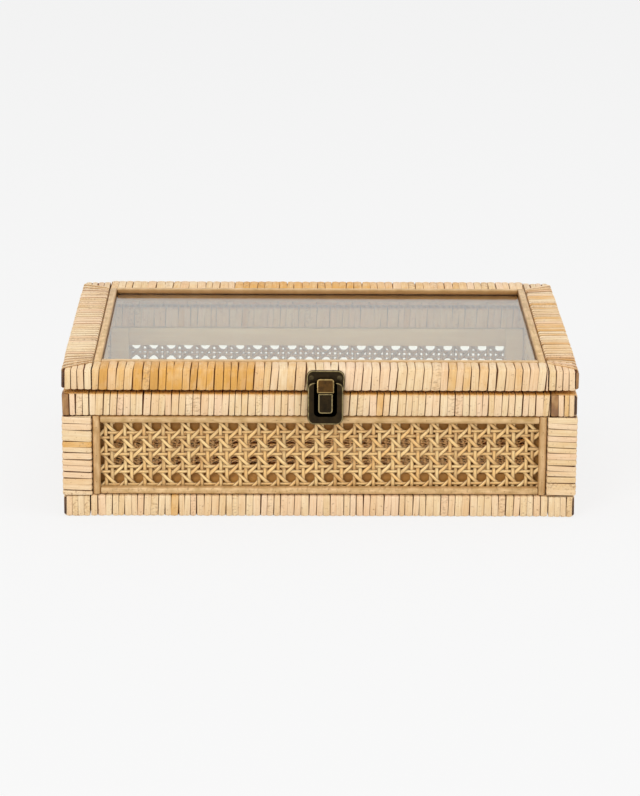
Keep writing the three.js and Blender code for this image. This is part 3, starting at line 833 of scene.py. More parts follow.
# %% End strips
CLEAN = 0.08
GOLDEN = 0.5
BROWN = 1.9
DARK = 2.9
LID_END = ((3.9, CLEAN), (3.8, CLEAN), (4.1, CLEAN), (4.4, CLEAN))
BOTTOM_END = ((1.6, DARK), (4.0, CLEAN), (3.9, CLEAN), (4.1, CLEAN), (4.0, CLEAN))
END_STRIPS = {
    ("left", "lid"): ((1.7, DARK), *LID_END),
    ("right", "lid"): ((1.9, BROWN), *LID_END),
    ("left", "top"): ((4.4, BROWN), (3.5, CLEAN), (4.2, CLEAN), (3.9, CLEAN)),
    ("right", "top"): ((1.6, DARK), (3.4, CLEAN), (3.0, GOLDEN), (3.5, CLEAN), (4.7, BROWN)),
    ("left", "bottom"): BOTTOM_END,
    ("right", "bottom"): BOTTOM_END,
}
END_THICKNESS = 1.2
END_ROUNDING = 1.6
END_MARGIN = 0.4
END_LEAN = 0.025
END_DEPTHS = {"bottom": 0.3, "top": 0.3, "lid": 1.05}
DEPTH_SHARES = (0.7, 1.2)
UNDER_DEPTHS = {"bottom": 0.0, "top": 0.0, "lid": 0.5}
TAILS = {"bottom": 7.0, "top": 7.0, "lid": 24.0}
SLIVER_WIDTH = 2.5
SLIVER_TAIL = 1.2
SLIVER_SHORTER = 1.4


def end_strips(shape, marks, half, strips, level, rng):
    """Strips folded over the front end of a rail along Y, centred on the origin, from left to right."""
    space = (2 * half.x - 2 * END_MARGIN - sum(width for width, _ in strips)) / (len(strips) - 1)
    x = -half.x + END_MARGIN
    tail = TAILS[level]
    for width, stain in strips:
        sliver = width < SLIVER_WIDTH
        shorter = SLIVER_SHORTER if sliver else 0.0
        depth = END_DEPTHS[level] * rng.uniform(*DEPTH_SHARES) + shorter
        lift = UNDER_DEPTHS[level] + shorter
        flat_z = 2 * half.z - 2 * END_ROUNDING - depth - lift
        start = (x + width / 2, -half.y + END_ROUNDING + tail, -half.z + lift)
        runs = (tail, flat_z, SLIVER_TAIL if sliver else tail)
        leans = (0, rng.uniform(-END_LEAN, END_LEAN), 0)
        fresh = lay_strip(shape, marks, width, END_THICKNESS, start, runs, END_ROUNDING, leans)
        tone = rng.random()
        for vert in fresh:
            vert[marks["tone"]] = tone
            # The end strips get the same painted seam shade on their upper faces.
            vert[marks["stain"]] = max(stain, SEAM_SHADES[level] * over_edge(vert.co.z, half.z))
        x += width + space


print("end strips listed for", len(END_STRIPS), "rails")

# %% Wind the side rails
WINDING_INSETS = {"bottom": 2.0, "top": 2.0, "lid": 11.0}
FANS = {"bottom": (0.0,), "top": (0.0,), "lid": (0.72, 0.5, 0.3, 0.15)}
FLARES = {"bottom": 0.0, "top": 0.0, "lid": 0.05}
SIDE_TILTS = {"bottom": TILTS, "top": TILTS, "lid": (0.1, 0.16, 0.3, 0.5)}
SIDE_PITCHES = {"bottom": 4.0, "top": 3.9, "lid": 5.6}
SIDE_JOINTS = {"bottom": 0.05, "top": 0.05, "lid": 0.11}
SIDE_SHARES = {"left_lid": (-0.2, 0.4, 0.9, 1.4, 1.9), "right_lid": (-0.7, -0.1, 0.5, 0.9, 1.3)}
SIDE_LEAN = 0.02
SIDEWAYS = Matrix.Rotation(math.pi / 2, 4, "Z")
ABOUT = Matrix.Rotation(math.pi, 4, "Z")

for level, pitch in SIDE_PITCHES.items():
    for side in SIDES:
        rail = f"{side}_{level}"
        node = f"{rail}_binding"
        middle, half = centre_mm(node)
        rng = random.Random(node)
        shape, marks = marked_mesh()
        outer = -1 if side == "left" else 1
        turns = wind(
            shape, marks, 2 * half.y - 2 * WINDING_INSETS[level], half.x, half.z, pitch, rng,
            STAINS.get(rail, odd_stain),
            lean=SIDE_LEAN,
            gap=SIDE_JOINTS[level],
            tilts=SIDE_TILTS[level],
            fans=[outer * fan for fan in FANS[level]],
            shares=SIDE_SHARES.get(rail, GAP_SHARES),
            flare=-outer * FLARES[level],
            seam_shade=SEAM_SHADES[level],
        )
        move(shape, SIDEWAYS)
        from_left = END_STRIPS[side, level][::-outer]
        behind = [(width, CLEAN) for width, _ in from_left[::-1]]
        end_strips(shape, marks, half, from_left, level, rng)
        move(shape, ABOUT)
        end_strips(shape, marks, half, behind, level, rng)
        move(shape, Matrix.Translation(middle) @ ABOUT)
        winding_piece(node, shape, RAIL_BODIES[level], turns)

# %% [markdown]
# ## Posts
#
# The posts are wound as the rails are, with the strip lying almost level. One strip of the front left post
# is orange, a third of the way down.

# %% Wind the posts
POST_PITCH = 4.2
POST_JOINT = 0.06
UPRIGHT = Matrix.Rotation(-math.pi / 2, 4, "Y")
POST_TURNS = {"left": UPRIGHT, "right": ABOUT @ UPRIGHT}
ORANGE = 0.75


def tanned_post_stain(x, rng):
    return ORANGE if 6.0 < x < 10.2 else odd_stain(x, rng)


for end in ENDS:
    for side in SIDES:
        node = f"{end}_{side}_post_binding"
        middle, half = centre_mm(node)
        shape, marks = marked_mesh()
        rng = random.Random(node)
        stain = tanned_post_stain if node == "front_left_post_binding" else odd_stain
        turns = wind(shape, marks, 2 * half.z, half.y, half.x, POST_PITCH, rng, stain, gap=POST_JOINT)
        move(shape, Matrix.Translation(middle) @ POST_TURNS[side])
        winding_piece(node, shape, "base", turns)

# %% [markdown]
# ## Beads
#
# Each panel and the glass are framed by smooth rattan sticks, held by small pins. A stick starts as a cube
# that is scaled to its length. Its long edges on the outside are beveled round, then its ends are eased.

# %% Stick and pin
END_EASE = 0.7
PIN_RADIUS = 0.34
PIN_DOME = 0.5
NEAR = 1e-4


def facing_axis(outward):
    return max(range(3), key=lambda axis: abs(outward[axis]))


def face_level(low, high, outward):
    """Where the outer face of a stick lies along the axis that it faces."""
    facing = facing_axis(outward)
    return low[facing] if outward[facing] < 0 else high[facing]


def stick(shape, marks, low, high, along, outward, rng, rounding, face_shade, back_shade):
    """A bead from low to high, running along one axis, rounded on the side that faces outward."""
    size = high - low
    middle = (low + high) / 2
    fresh = block(shape, middle, size)
    facing = facing_axis(outward)
    wide = 3 - along - facing
    face_at = face_level(low, high, outward)
    back_at = low[facing] + high[facing] - face_at

    def lies(edge, axis, at):
        return all(abs(v.co[axis] - at) < NEAR for v in edge.verts)

    def at_an_end(edge):
        return lies(edge, along, low[along]) or lies(edge, along, high[along])

    long_edges = [e for e in edges_round(fresh) if lies(e, facing, face_at) and not at_an_end(e)]
    made = ease(shape, long_edges, rounding, 4, clamp=True)
    whole = set(made["verts"]) | {v for v in fresh if v.is_valid}
    end_edges = [e for e in edges_round(whole) if at_an_end(e) and not lies(e, facing, back_at)]
    made = ease(shape, end_edges, END_EASE, 2, clamp=True)
    tone = rng.random()
    for vert in set(made["verts"]) | {v for v in whole if v.is_valid}:
        vert[marks["across"]] = (vert.co[wide] - middle[wide]) / size[wide]
        vert[marks["along"]] = vert.co[along]
        vert[marks["tone"]] = tone
        # Painted shade through the stain mark: outer faces of upright beads, and the faces of lid beads
        # against the glass.
        vert[marks["stain"]] = back_shade if abs(vert.co[facing] - back_at) < NEAR else face_shade


def pin(shape, point, outward):
    """A small round pin head that stands a little out of the bead."""
    turn = outward.to_track_quat("Z", "Y").to_matrix().to_4x4()
    place_at = Matrix.Translation(point) @ turn @ Matrix.Diagonal((1, 1, PIN_DOME, 1))
    bmesh.ops.create_uvsphere(shape, u_segments=8, v_segments=6, radius=PIN_RADIUS, matrix=place_at)


pin_finish, tree, principled = new_finish("bead_pin")
rust = noise(tree, object_place(tree), 900.0)
pin_colour = blended(tree, rust, display(128, 92, 54), display(166, 126, 78))
feed(principled, {"Base Color": pin_colour, "Metallic": 0.6, "Roughness": 0.55})
print("pin heads", 2 * PIN_RADIUS, "mm across")

# %% Bead frames
BEAD_JOINT = 0.15
X, Y, Z = range(3)
PIN_SPACINGS = {X: 48.0, Y: 48.0, Z: 18.0}
PIN_STRAY = 0.12
# Painted shade: the upright beads of the panels are a little darker, as less light falls on them.
BEAD_FACE_SHADES = {X: 0.0, Y: 0.0, Z: 0.3}


def frame_bars(low, high, width, joint, tall):
    """The corners of four bars that frame a box: two along the tall axis, then two along X between them."""
    for x in (low.x, high.x - width):
        first, last = low.copy(), high.copy()
        first.x = x
        last.x = x + width
        yield first, last, tall
    for level in (low[tall], high[tall] - width):
        first, last = low.copy(), high.copy()
        first.x = low.x + width + joint
        last.x = high.x - width - joint
        first[tall] = level
        last[tall] = level + width
        yield first, last, X


def spaced(low, high, spacing, rng):
    count = max(2, round((high - low) / spacing))
    step = (high - low) / count
    return [low + step * (n + 0.5 + rng.uniform(-PIN_STRAY, PIN_STRAY)) for n in range(count)]


def bead_frame(low, high, width, tall, outward, rng, rounding, back_shade=0.0):
    """Four beads round a box, and the pins that hold them."""
    shape, marks = marked_mesh()
    heads = bmesh.new()
    for first, last, along in frame_bars(low, high, width, BEAD_JOINT, tall):
        stick(shape, marks, first, last, along, outward, rng, rounding, BEAD_FACE_SHADES[along], back_shade)
        point = (first + last) / 2
        point[facing_axis(outward)] = face_level(first, last, outward)
        for distance in spaced(first[along], last[along], PIN_SPACINGS[along], rng):
            point[along] = distance
            pin(heads, point, outward)
    return shape, heads


print("bead pins every", PIN_SPACINGS[X], "mm along the front")

# %% Panel beads
PANEL_TURNS = {"front": 0, "right": 90, "back": 180, "left": 270}
BEAD_WIDTH = 5.0
BEAD_ROUND = 2.2
FRONTWARD = Vector((0, -1, 0))


def panel_turn(name):
    """Turns the front panel to another side of the box."""
    return Matrix.Rotation(math.radians(PANEL_TURNS[name]), 4, "Z")


def panel_box(name, part):
    """The box of one part of a panel, turned as if the panel were the front one."""
    back = Matrix.Rotation(-math.radians(PANEL_TURNS[name]), 4, "Z")
    corners = [back @ corner for corner in box_mm(f"{name}_{part}")]
    return Vector(map(min, *corners)), Vector(map(max, *corners))


for name in PANEL_TURNS:
    low, high = panel_box(name, "beads")
    rng = random.Random(name + " beads")
    shape, heads = bead_frame(low, high, BEAD_WIDTH, Z, FRONTWARD, rng, BEAD_ROUND)
    move(shape, panel_turn(name))
    move(heads, panel_turn(name))
    make_piece(f"{name}_bead_sticks", shape, bead_finish, "base", "bead_rattan", (f"{name}_beads",))
    make_piece(f"{name}_bead_pins", heads, pin_finish, "base", "antique_bronze")
    print(name, "panel: four beads")

# %% [markdown]
# ## Battens
#
# Behind each cane sheet sits a frame of plain wooden battens, glued to the rails and posts. They show
# through the top and bottom row of holes, and from inside the open box. The battens stand a little back
# from the cane, so that the small gaps of the weave stay dark.

# %% Batten frames
BATTEN_WIDTH = 12.7
BATTEN_SETBACK = 1.6
BATTEN_EASE = 0.5
BATTEN_JOINT = 0.1
# The front battens take the darker copy, a painted shade.
BATTEN_FINISHES = {
    "front": shaded_batten_finish,
    "right": batten_finishes["y"],
    "back": batten_finishes["x"],
    "left": batten_finishes["y"],
}

for name, finish in BATTEN_FINISHES.items():
    low, high = panel_box(name, "battens")
    low.y += BATTEN_SETBACK
    shape = bmesh.new()
    for first, last, _ in frame_bars(low, high, BATTEN_WIDTH, BATTEN_JOINT, Z):
        batten = block(shape, (first + last) / 2, last - first)
        ease(shape, edges_round(batten), BATTEN_EASE, 2)
    move(shape, panel_turn(name))
    make_piece(f"{name}_batten_frame", shape, finish, "base", "batten_wood", (f"{name}_battens",))
    print(name, "battens", round(high.y - low.y, 1), "mm deep")

# %% Lid beads
LID_BEAD_WIDTH = 4.8
LID_BEAD_ROUND = 0.7
# Painted shade and reflection: the faces of the lid beads that touch the glass are dark brown, for the dark
# band seen in the glass beside the beads.
GLASS_SIDE_SHADE = 1.9
UPWARD = Vector((0, 0, 1))
for name, outward in (("lid_upper_beads", UPWARD), ("lid_lower_beads", -UPWARD)):
    low, high = box_mm(name)
    rng = random.Random(name)
    shape, heads = bead_frame(low, high, LID_BEAD_WIDTH, Y, outward, rng, LID_BEAD_ROUND, GLASS_SIDE_SHADE)
    make_piece(f"{name}_sticks", shape, bead_finish, "lid", "bead_rattan", (name,))
    make_piece(f"{name}_pins", heads, pin_finish, "lid", "antique_bronze")
    print(name, "made")

# %% [markdown]
# ## Woven cane
#
# The sheets are woven in the old six-way pattern: pairs of uprights and pairs of crosswise strands in a
# plain weave, and two sets of slanting strands that go over one pair and under the other. Every strand is a
# grid that follows the weave up and down, with a thickness from a Solidify modifier. With the holes at whole
# numbers of u and v, the height of each kind of strand is a sine or cosine of one of them.

# %% Strands
PITCH_ACROSS = 12.63
PITCH_UP = 12.0
STRAND_WIDTHS = {"up": 2.45, "cross": 2.15, "slant": 2.35}
WIDTH_SHARES = (0.9, 1.08)
STRAND_ANGLE = 0.004
STRAND_STRAY = 0.14
WEAVE_LOW = 0.34
WEAVE_HIGH = 0.74
WAVE = 2 * math.pi
CROWN = 0.14
# Painted shade: the parts of a strand that dip low in the weave are darker, as if in the shadow of the
# strands above.
RECESS_SHADE = 0.5
STRAND_AGES = (0.0, 0.0, 0.06, 0.2)


def weave_height(kind, side, u, v):
    """How far a strand stands out of the sheet. The side is -1 or 1, for its place in a pair or its lean."""
    if kind == "up":
        return -side * WEAVE_LOW * math.sin(WAVE * (v - 0.5))
    if kind == "cross":
        return side * WEAVE_LOW * math.sin(WAVE * (u - 0.5))
    return side * WEAVE_HIGH * math.cos(WAVE * u)


def strand(shape, marks, kind, side, first, last, step, rng):
    """A ribbon from first to last in the sheet's plane, whose height follows the weave."""
    first = Vector((*first, 0))
    last = Vector((*last, 0))
    span = last - first
    angle = math.atan2(span.y, span.x) + rng.uniform(-STRAND_ANGLE, STRAND_ANGLE)
    jitter = Vector((-span.y, span.x, 0)).normalized() * rng.uniform(-STRAND_STRAY, STRAND_STRAY)
    scale = Matrix.Diagonal((span.length, STRAND_WIDTHS[kind] * rng.uniform(*WIDTH_SHARES), 1, 1))
    matrix = Matrix.Translation((first + last) / 2 + jitter) @ Matrix.Rotation(angle, 4, "Z") @ scale
    count = max(4, round(span.length / step))
    fresh = bmesh.ops.create_grid(shape, x_segments=count, y_segments=2, size=0.5, matrix=matrix)["verts"]
    back = matrix.inverted()
    tone = rng.random()
    aged = rng.choice(STRAND_AGES)
    for vert in fresh:
        local = back @ vert.co
        u = vert.co.x / PITCH_ACROSS - 0.5
        v = vert.co.y / PITCH_UP - 0.5
        vert.co.z = weave_height(kind, side, u, v) + CROWN * (1 - (2 * local.y) ** 2)
        vert[marks["across"]] = local.y
        vert[marks["along"]] = local.x * span.length
        vert[marks["tone"]] = tone
        # The stain mark holds the strand's own age plus the painted shade of its low parts.
        vert[marks["stain"]] = aged + RECESS_SHADE * (1 - vert.co.z / WEAVE_HIGH) / 2


print("cane holes", PITCH_ACROSS, "by", PITCH_UP, "mm apart")

# %% Weave a sheet
PAIR_OFFSETS = {"up": 1.95, "cross": 1.68}
SHEET_MARGIN = 0.8
SHORTEST = 4
STRAND_THICKNESS = 0.42


def clipped(slope, offset, low, high):
    """The part of the line y = slope x + offset that lies inside the sheet, or None."""
    reach = sorted(((high.y - offset) / slope, (low.y - offset) / slope))
    start, end = max(low.x, reach[0]), min(high.x, reach[1])
    if end - start < SHORTEST:
        return None
    return (start, slope * start + offset), (end, slope * end + offset)


def paired(count, pitch, offset, low, high):
    """The places of paired strands that lie inside the sheet, each with its side of the pair."""
    for number in range(-count, count + 1):
        for side in (-1, 1):
            at = number * pitch + side * offset
            if low + SHEET_MARGIN < at < high - SHEET_MARGIN:
                yield at, side


def weave(shape, marks, half, pattern_at, step, rng):
    """Weaves a sheet round the origin, with the pattern's middle at a point of the sheet."""
    pattern_at = Vector(pattern_at)
    low, high = -half - pattern_at, half - pattern_at
    columns = math.ceil(half.x / PITCH_ACROSS) + 1
    rows = math.ceil(half.y / PITCH_UP) + 1
    for x, side in paired(columns, PITCH_ACROSS, PAIR_OFFSETS["up"], low.x, high.x):
        strand(shape, marks, "up", side, (x, low.y), (x, high.y), step, rng)
    for y, side in paired(rows, PITCH_UP, PAIR_OFFSETS["cross"], low.y, high.y):
        strand(shape, marks, "cross", side, (low.x, y), (high.x, y), step, rng)
    slope = PITCH_UP / PITCH_ACROSS
    for number in range(-columns - rows, columns + rows + 1):
        for lean in (-1, 1):
            ends = clipped(lean * slope, (number + 0.5) * PITCH_UP, low, high)
            if ends:
                strand(shape, marks, "slant", lean, *ends, step, rng)
    bmesh.ops.translate(shape, vec=(*pattern_at, 0), verts=shape.verts[:])


def woven_piece(name, shape, node, finish):
    made = make_piece(name, shape, finish, "base", "cane", (node,), sharp=180, outward=False)
    wall = made.modifiers.new("strand thickness", "SOLIDIFY")
    wall.thickness = STRAND_THICKNESS * MM
    wall.offset = -1


print("strands", STRAND_THICKNESS, "mm thick")

# %% Panel cane
PATTERN_AT = {"front": (-0.2, 1.45), "right": (0.0, 0.6), "back": (-0.75, -6.6), "left": (0.0, 0.6)}
PATTERN_TURNS = {"front": 0.36, "right": 0.1, "back": 0.29, "left": -0.15}
TURN_ROOM = Vector((0.4, 0.8))
PANEL_STEP = 2.4
UP_TO_FRONT = Matrix.Rotation(math.pi / 2, 4, "X")
for name, pattern_at in PATTERN_AT.items():
    middle, half = centre_mm(f"{name}_cane")
    wide = half.x if name in ENDS else half.y
    shape, marks = marked_mesh()
    rng = random.Random(name + " cane")
    weave(shape, marks, Vector((wide, half.z)) - TURN_ROOM, pattern_at, PANEL_STEP, rng)
    askew = Matrix.Rotation(math.radians(PATTERN_TURNS[name]), 4, "Z")
    move(shape, Matrix.Translation(middle) @ panel_turn(name) @ UP_TO_FRONT @ askew)
    woven_piece(f"{name}_woven_cane", shape, f"{name}_cane", cane_finish)
    print(name, "cane woven")

# %% Floor cane
FLOOR_STEP = 4.3
middle, half = centre_mm("floor_cane")
shape, marks = marked_mesh()
weave(shape, marks, half.xy, (0.0, 0.0), FLOOR_STEP, random.Random("floor cane"))
move(shape, Matrix.Translation(middle))
woven_piece("floor_woven_cane", shape, "floor_cane", floor_cane_finish)
print("floor cane woven")

# %% [markdown]
# ## Glass
#
# The pane is the CAD solid with clear, faintly green float glass.

# %% Glass finish
GLASS = {"Base Color": (0.985, 1.0, 0.9, 1), "Roughness": 0.0, "IOR": 1.5, "Transmission Weight": 1.0}
glass_finish, _, principled = new_finish("float_glass")
feed(principled, GLASS)
dress_node("glass_pane", glass_finish)
print("glass on the pane")

# %% [markdown]
# ## Antique bronze and brass
#
# The fittings are browned metal, rubbed bright along their rims. The mesh carries a mark that is 1 on a rim
# and 0 on the flats, and a shared group breaks it up with noise, so that the rubbing looks uneven.

# %% Worn metal
worn_group = bpy.data.node_groups.new("rubbed_rim", "ShaderNodeTree")
number_socket(worn_group, "Rim", "INPUT")
number_socket(worn_group, "Wear", "OUTPUT")
number_socket(worn_group, "Grime", "OUTPUT")
start = place(worn_group, "NodeGroupInput").outputs
coordinates = object_place(worn_group)
uneven = noise(worn_group, coordinates, 420.0, 3.0)
grime = noise(worn_group, coordinates, 260.0, 6.0, 0.68)
rubbed = maths(worn_group, "MULTIPLY", start["Rim"], spread(worn_group, uneven, 0.22, 0.52))
place(worn_group, "NodeGroupOutput", {"Wear": rubbed, "Grime": spread(worn_group, grime, 0.35, 0.7)})


def metal_finish(name, dark, brown, bright, rough):
    material, tree, principled = new_finish(name)
    masks = place(tree, "ShaderNodeGroup", node_tree=worn_group)
    feed(masks, {"Rim": mark_of(tree, "rim")})
    grime = masks.outputs["Grime"]
    skin = blended(tree, grime, display(*brown), display(*dark))
    looks = {
        "Base Color": blended(tree, masks.outputs["Wear"], skin, display(*bright)),
        "Roughness": spread(tree, grime, 0, 1, rough - 0.08, rough + 0.12),
        "Normal": bump(tree, grime, 0.15, 0.1),
        "Metallic": 0.85,
    }
    feed(principled, looks)
    return material


bronze_finish = metal_finish("antique_bronze", (30, 23, 11), (54, 41, 20), (188, 168, 118), 0.42)
# Painted light: a lighter copy of the bronze for the hook, whose sloped face catches the light from above.
# The leaf spring shares it.
lit_bronze_finish = metal_finish("lit_bronze", (46, 31, 10), (92, 63, 25), (170, 144, 92), 0.36)
brass_finish = metal_finish("antique_brass", (120, 96, 56), (156, 126, 74), (214, 192, 140), 0.4)
for side in SIDES:
    for part in ("base_leaf", "lid_leaf", "pin"):
        dress_node(f"{side}_hinge_{part}", brass_finish)
dress_node("lever_pin", bronze_finish)
print("metal finishes ready")

# %% [markdown]
# ## Latch
#
# The plates are drawn as flat outlines with a few corners, which a vertex bevel rounds. Extruding gives them
# thickness, the front edge is beveled, and an inset keeps the bright rim to the edge of the face.

# %% Plates
PLATE_EDGE = 0.45
PLATE_BORDER = 0.55
FLAT = 0.9
RIM_DEPTH = 0.01


def rimmed_mesh():
    shape = bmesh.new()
    return shape, shape.verts.layers.float.new("rim")


def extruded(shape, faces, step):
    body = bmesh.ops.extrude_face_region(shape, geom=faces)
    fresh = verts_of(body["geom"])
    bmesh.ops.translate(shape, vec=step, verts=fresh)
    return fresh


def plate(shape, rim, corners, roundings, front, depth, edge=PLATE_EDGE, border=PLATE_BORDER, sink=0.0):
    """A flat plate facing -Y, from its outline in X and Z."""
    held = set(shape.faces)
    verts = [shape.verts.new((x, front, z)) for x, z in corners]
    shape.faces.new(verts)
    for radius in sorted(set(roundings)):
        chosen = [v for v, r in zip(verts, roundings) if r == radius and r > 0]
        if chosen:
            ease(shape, chosen, radius, 6, affect="VERTICES")

    def fresh_faces():
        return [f for f in shape.faces if f not in held]

    def front_face():
        level = [f for f in fresh_faces() if abs(f.calc_center_median().y - front) < NEAR]
        return max((f for f in level if abs(f.normal.y) > FLAT), key=lambda f: f.calc_area())

    outline = fresh_faces()
    bmesh.ops.recalc_face_normals(shape, faces=outline)
    if outline[0].normal.y > 0:
        bmesh.ops.reverse_faces(shape, faces=outline)
    extruded(shape, outline, (0, depth, 0))
    ease(shape, front_face().edges[:], edge, 3, clamp=True)
    face = front_face()
    bmesh.ops.inset_region(shape, faces=[face], thickness=border, depth=-sink)
    inner = set(face.verts)
    for vert in {v for f in fresh_faces() for v in f.verts}:
        vert[rim] = 1.0 if vert not in inner and vert.co.y < front + RIM_DEPTH else 0.0


def upright_box(left, right, foot, top):
    """The corners of a box in X and Z, going round from the lower left."""
    return (left, foot), (right, foot), (right, top), (left, top)


print("plate edges eased by", PLATE_EDGE, "mm")

# %% Catch plate
catch_low, catch_high = box_mm("catch_plate")
LATCH_X = (catch_low.x + catch_high.x) / 2
RIDGE_STAND = 0.9
RIDGE_LIFT = 2.7
RIDGE_SINK = 0.05
RIDGE_SIZE = (9, 1.0, 2)
RIDGE_EASE = 0.3
CATCH_ROUNDINGS = (1.0, 1.0, 4.5, 4.5)
CATCH_FACE = catch_low.y + RIDGE_STAND
shape, rim = rimmed_mesh()
corners = upright_box(catch_low.x, catch_high.x, catch_low.z, catch_high.z)
plate(shape, rim, corners, CATCH_ROUNDINGS, CATCH_FACE, catch_high.y - CATCH_FACE)
ridge_middle = (LATCH_X, CATCH_FACE - RIDGE_STAND / 2 + RIDGE_SINK, catch_low.z + RIDGE_LIFT)
ridge = block(shape, ridge_middle, RIDGE_SIZE)
ease(shape, edges_round(ridge), RIDGE_EASE, 2)
make_piece("catch_plate_face", shape, bronze_finish, "lid", "antique_bronze", ("catch_plate",))
print("catch plate", [round(v, 1) for v in catch_high - catch_low])

# %% Latch plate
low, high = box_mm("latch_plate")
SLOT_HALF = 6.6
SLOT_BOTTOM = low.z + 6.35
ARM_THICKNESS = 2.4
ARM_BACK = low.y + ARM_THICKNESS
ARM_ROUNDINGS = (4.5, 4.5, 4.2, 0.5, 2.4, 2.4, 0.5, 4.2)
LOWER_ROUNDINGS = (4.5, 4.5, 0, 0, 2.4, 2.4, 0, 0)
LOWER_EDGE = 0.05
LOWER_TOP = box_mm("front_top_binding")[1].z - 0.3
WEB_LIFT = 11.65
WEB_THICKNESS = 1.0
WEB_HEIGHT = 8


def slotted_outline(top):
    """The latch plate's U from its foot up to a level, going round from the lower left."""
    left, right = LATCH_X - SLOT_HALF, LATCH_X + SLOT_HALF
    outside = ((low.x, low.z), (high.x, low.z), (high.x, top))
    slot = ((right, top), (right, SLOT_BOTTOM), (left, SLOT_BOTTOM), (left, top))
    return (*outside, *slot, (low.x, top))


shape, rim = rimmed_mesh()
plate(shape, rim, slotted_outline(high.z), ARM_ROUNDINGS, low.y, ARM_THICKNESS)
lower = slotted_outline(LOWER_TOP)
plate(shape, rim, lower, LOWER_ROUNDINGS, ARM_BACK, high.y - ARM_BACK, edge=LOWER_EDGE)
web_middle = (LATCH_X, high.y - WEB_THICKNESS / 2, low.z + WEB_LIFT)
block(shape, web_middle, (2 * SLOT_HALF, WEB_THICKNESS, WEB_HEIGHT))
make_piece("latch_plate_face", shape, bronze_finish, "base", "antique_bronze", ("latch_plate",))
print("latch plate", [round(v, 1) for v in high - low])

# %% Lever tongue
low, high = box_mm("latch_lever")
SHEET = 1.2
HOOK_FOOT = high.z - 8.4
TONGUE_FRONT = low.y + 1.9
TONGUE_INSET = 0.6
TONGUE_BORDER = 0.7
TONGUE_SINK = 0.25
TONGUE_ROUNDINGS = (2.2, 2.2, 0.6, 0.6)
SHADOW_GAP = 1.1
NECK_INSET = 1.0
EYE_RADIUS = 2.1
lever_width = high.x - low.x
shape, rim = rimmed_mesh()
corners = upright_box(low.x + TONGUE_INSET, high.x - TONGUE_INSET, low.z, HOOK_FOOT - SHADOW_GAP)
plate(shape, rim, corners, TONGUE_ROUNDINGS, TONGUE_FRONT, SHEET, border=TONGUE_BORDER, sink=TONGUE_SINK)
neck_middle = (LATCH_X, TONGUE_FRONT + SHEET * 0.75, HOOK_FOOT - SHADOW_GAP / 2)
block(shape, neck_middle, (lever_width - 2 * NECK_INSET, SHEET / 2, SHADOW_GAP + 1.0))
eye_middle, _ = centre_mm("lever_pin")
eye = {"radius1": EYE_RADIUS, "radius2": EYE_RADIUS, "depth": lever_width, "segments": 20, "cap_ends": True}
eye_at = Matrix.Translation(eye_middle) @ Matrix.Rotation(math.pi / 2, 4, "Y")
bmesh.ops.create_cone(shape, matrix=eye_at, **eye)
make_piece("lever_tongue", shape, bronze_finish, "lever", "antique_bronze", ("latch_lever",))
print("lever", [round(v, 1) for v in high - low])

# %% Lever hook
HOOK_BACK = low.y + 4.5
HOOK_EASE = 0.25
HOOK_BORDER = 0.7
TOP_ROUND = 1.8
SHARP_ANGLE = 0.4
BROAD_AREA = 55
tongue_back = TONGUE_FRONT + SHEET
hook_profile = (
    (tongue_back, HOOK_FOOT),
    (low.y, HOOK_FOOT),
    (HOOK_BACK - SHEET, high.z),
    (HOOK_BACK, high.z),
    (HOOK_BACK, high.z - SHEET),
    (low.y + SHEET, HOOK_FOOT + SHEET),
    (tongue_back, HOOK_FOOT + SHEET),
)
shape, rim = rimmed_mesh()
profile = shape.faces.new([shape.verts.new((low.x, y, z)) for y, z in hook_profile])
extruded(shape, [profile], (lever_width, 0, 0))
bmesh.ops.recalc_face_normals(shape, faces=shape.faces[:])


def is_top_corner(edge):
    first, last = (v.co for v in edge.verts)
    return min(first.z, last.z) > high.z - 1e-3 and first.x == last.x


ease(shape, [e for e in shape.edges if is_top_corner(e)], TOP_ROUND, 4)
ease(shape, [e for e in shape.edges if e.calc_face_angle(0) > SHARP_ANGLE], HOOK_EASE, 2)
broad = [f for f in shape.faces if f.calc_area() > BROAD_AREA]
bmesh.ops.inset_individual(shape, faces=broad, thickness=HOOK_BORDER)
flat = {v for f in broad for v in f.verts}
for vert in shape.verts:
    vert[rim] = 0.0 if vert in flat else 1.0
make_piece("lever_hook", shape, lit_bronze_finish, "lever", "antique_bronze")
print("hook", round(high.z - HOOK_FOOT, 1), "mm high")

# %% [markdown]
# ## Leaf spring
#
# A bent strip of steel lies on the web of the latch plate and pushes the foot of the tongue forward. Pressing
# the latch flattens the strip against the web. The piece gets a mesh of its own.

# %% Leaf spring
low, high = box_mm("latch_spring")
SPRING_SHEET = 0.4
SPRING_FOOT = 2.5
BEND_ROUND = 0.8
bend = high.z - SPRING_FOOT
spring_profile = (
    (high.y, high.z),
    (high.y - SPRING_SHEET, high.z),
    (high.y - SPRING_SHEET, bend),
    (low.y, low.z),
    (low.y + SPRING_SHEET, low.z),
    (high.y, bend - SPRING_SHEET),
)
shape, rim = rimmed_mesh()
verts = [shape.verts.new((low.x, y, z)) for y, z in spring_profile]
shape.faces.new(verts)
ease(shape, [verts[2], verts[5]], BEND_ROUND, 4, affect="VERTICES")
extruded(shape, shape.faces[:], (high.x - low.x, 0, 0))
leaf = make_piece("latch_leaf_spring", shape, lit_bronze_finish, "base", "spring_steel", ("latch_spring",))
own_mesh(leaf)
print("leaf spring", [round(v, 1) for v in high - low])

# %% [markdown]
# ## Screws
#
# The catch plate and the hinges are held by small cross-head screws. A head is a grid pulled into a round
# dome, with the five middle squares pushed in as the cross.

# %% Screw head
SCREW_DOME = 0.26
SCREW_RIM = 0.1
CROSS_DEPTH = 0.24
SKIRT = 0.35


def in_cross(face):
    x, y, _ = face.calc_center_median()
    return min(abs(x), abs(y)) < 0.1 and math.hypot(x, y) < 0.5


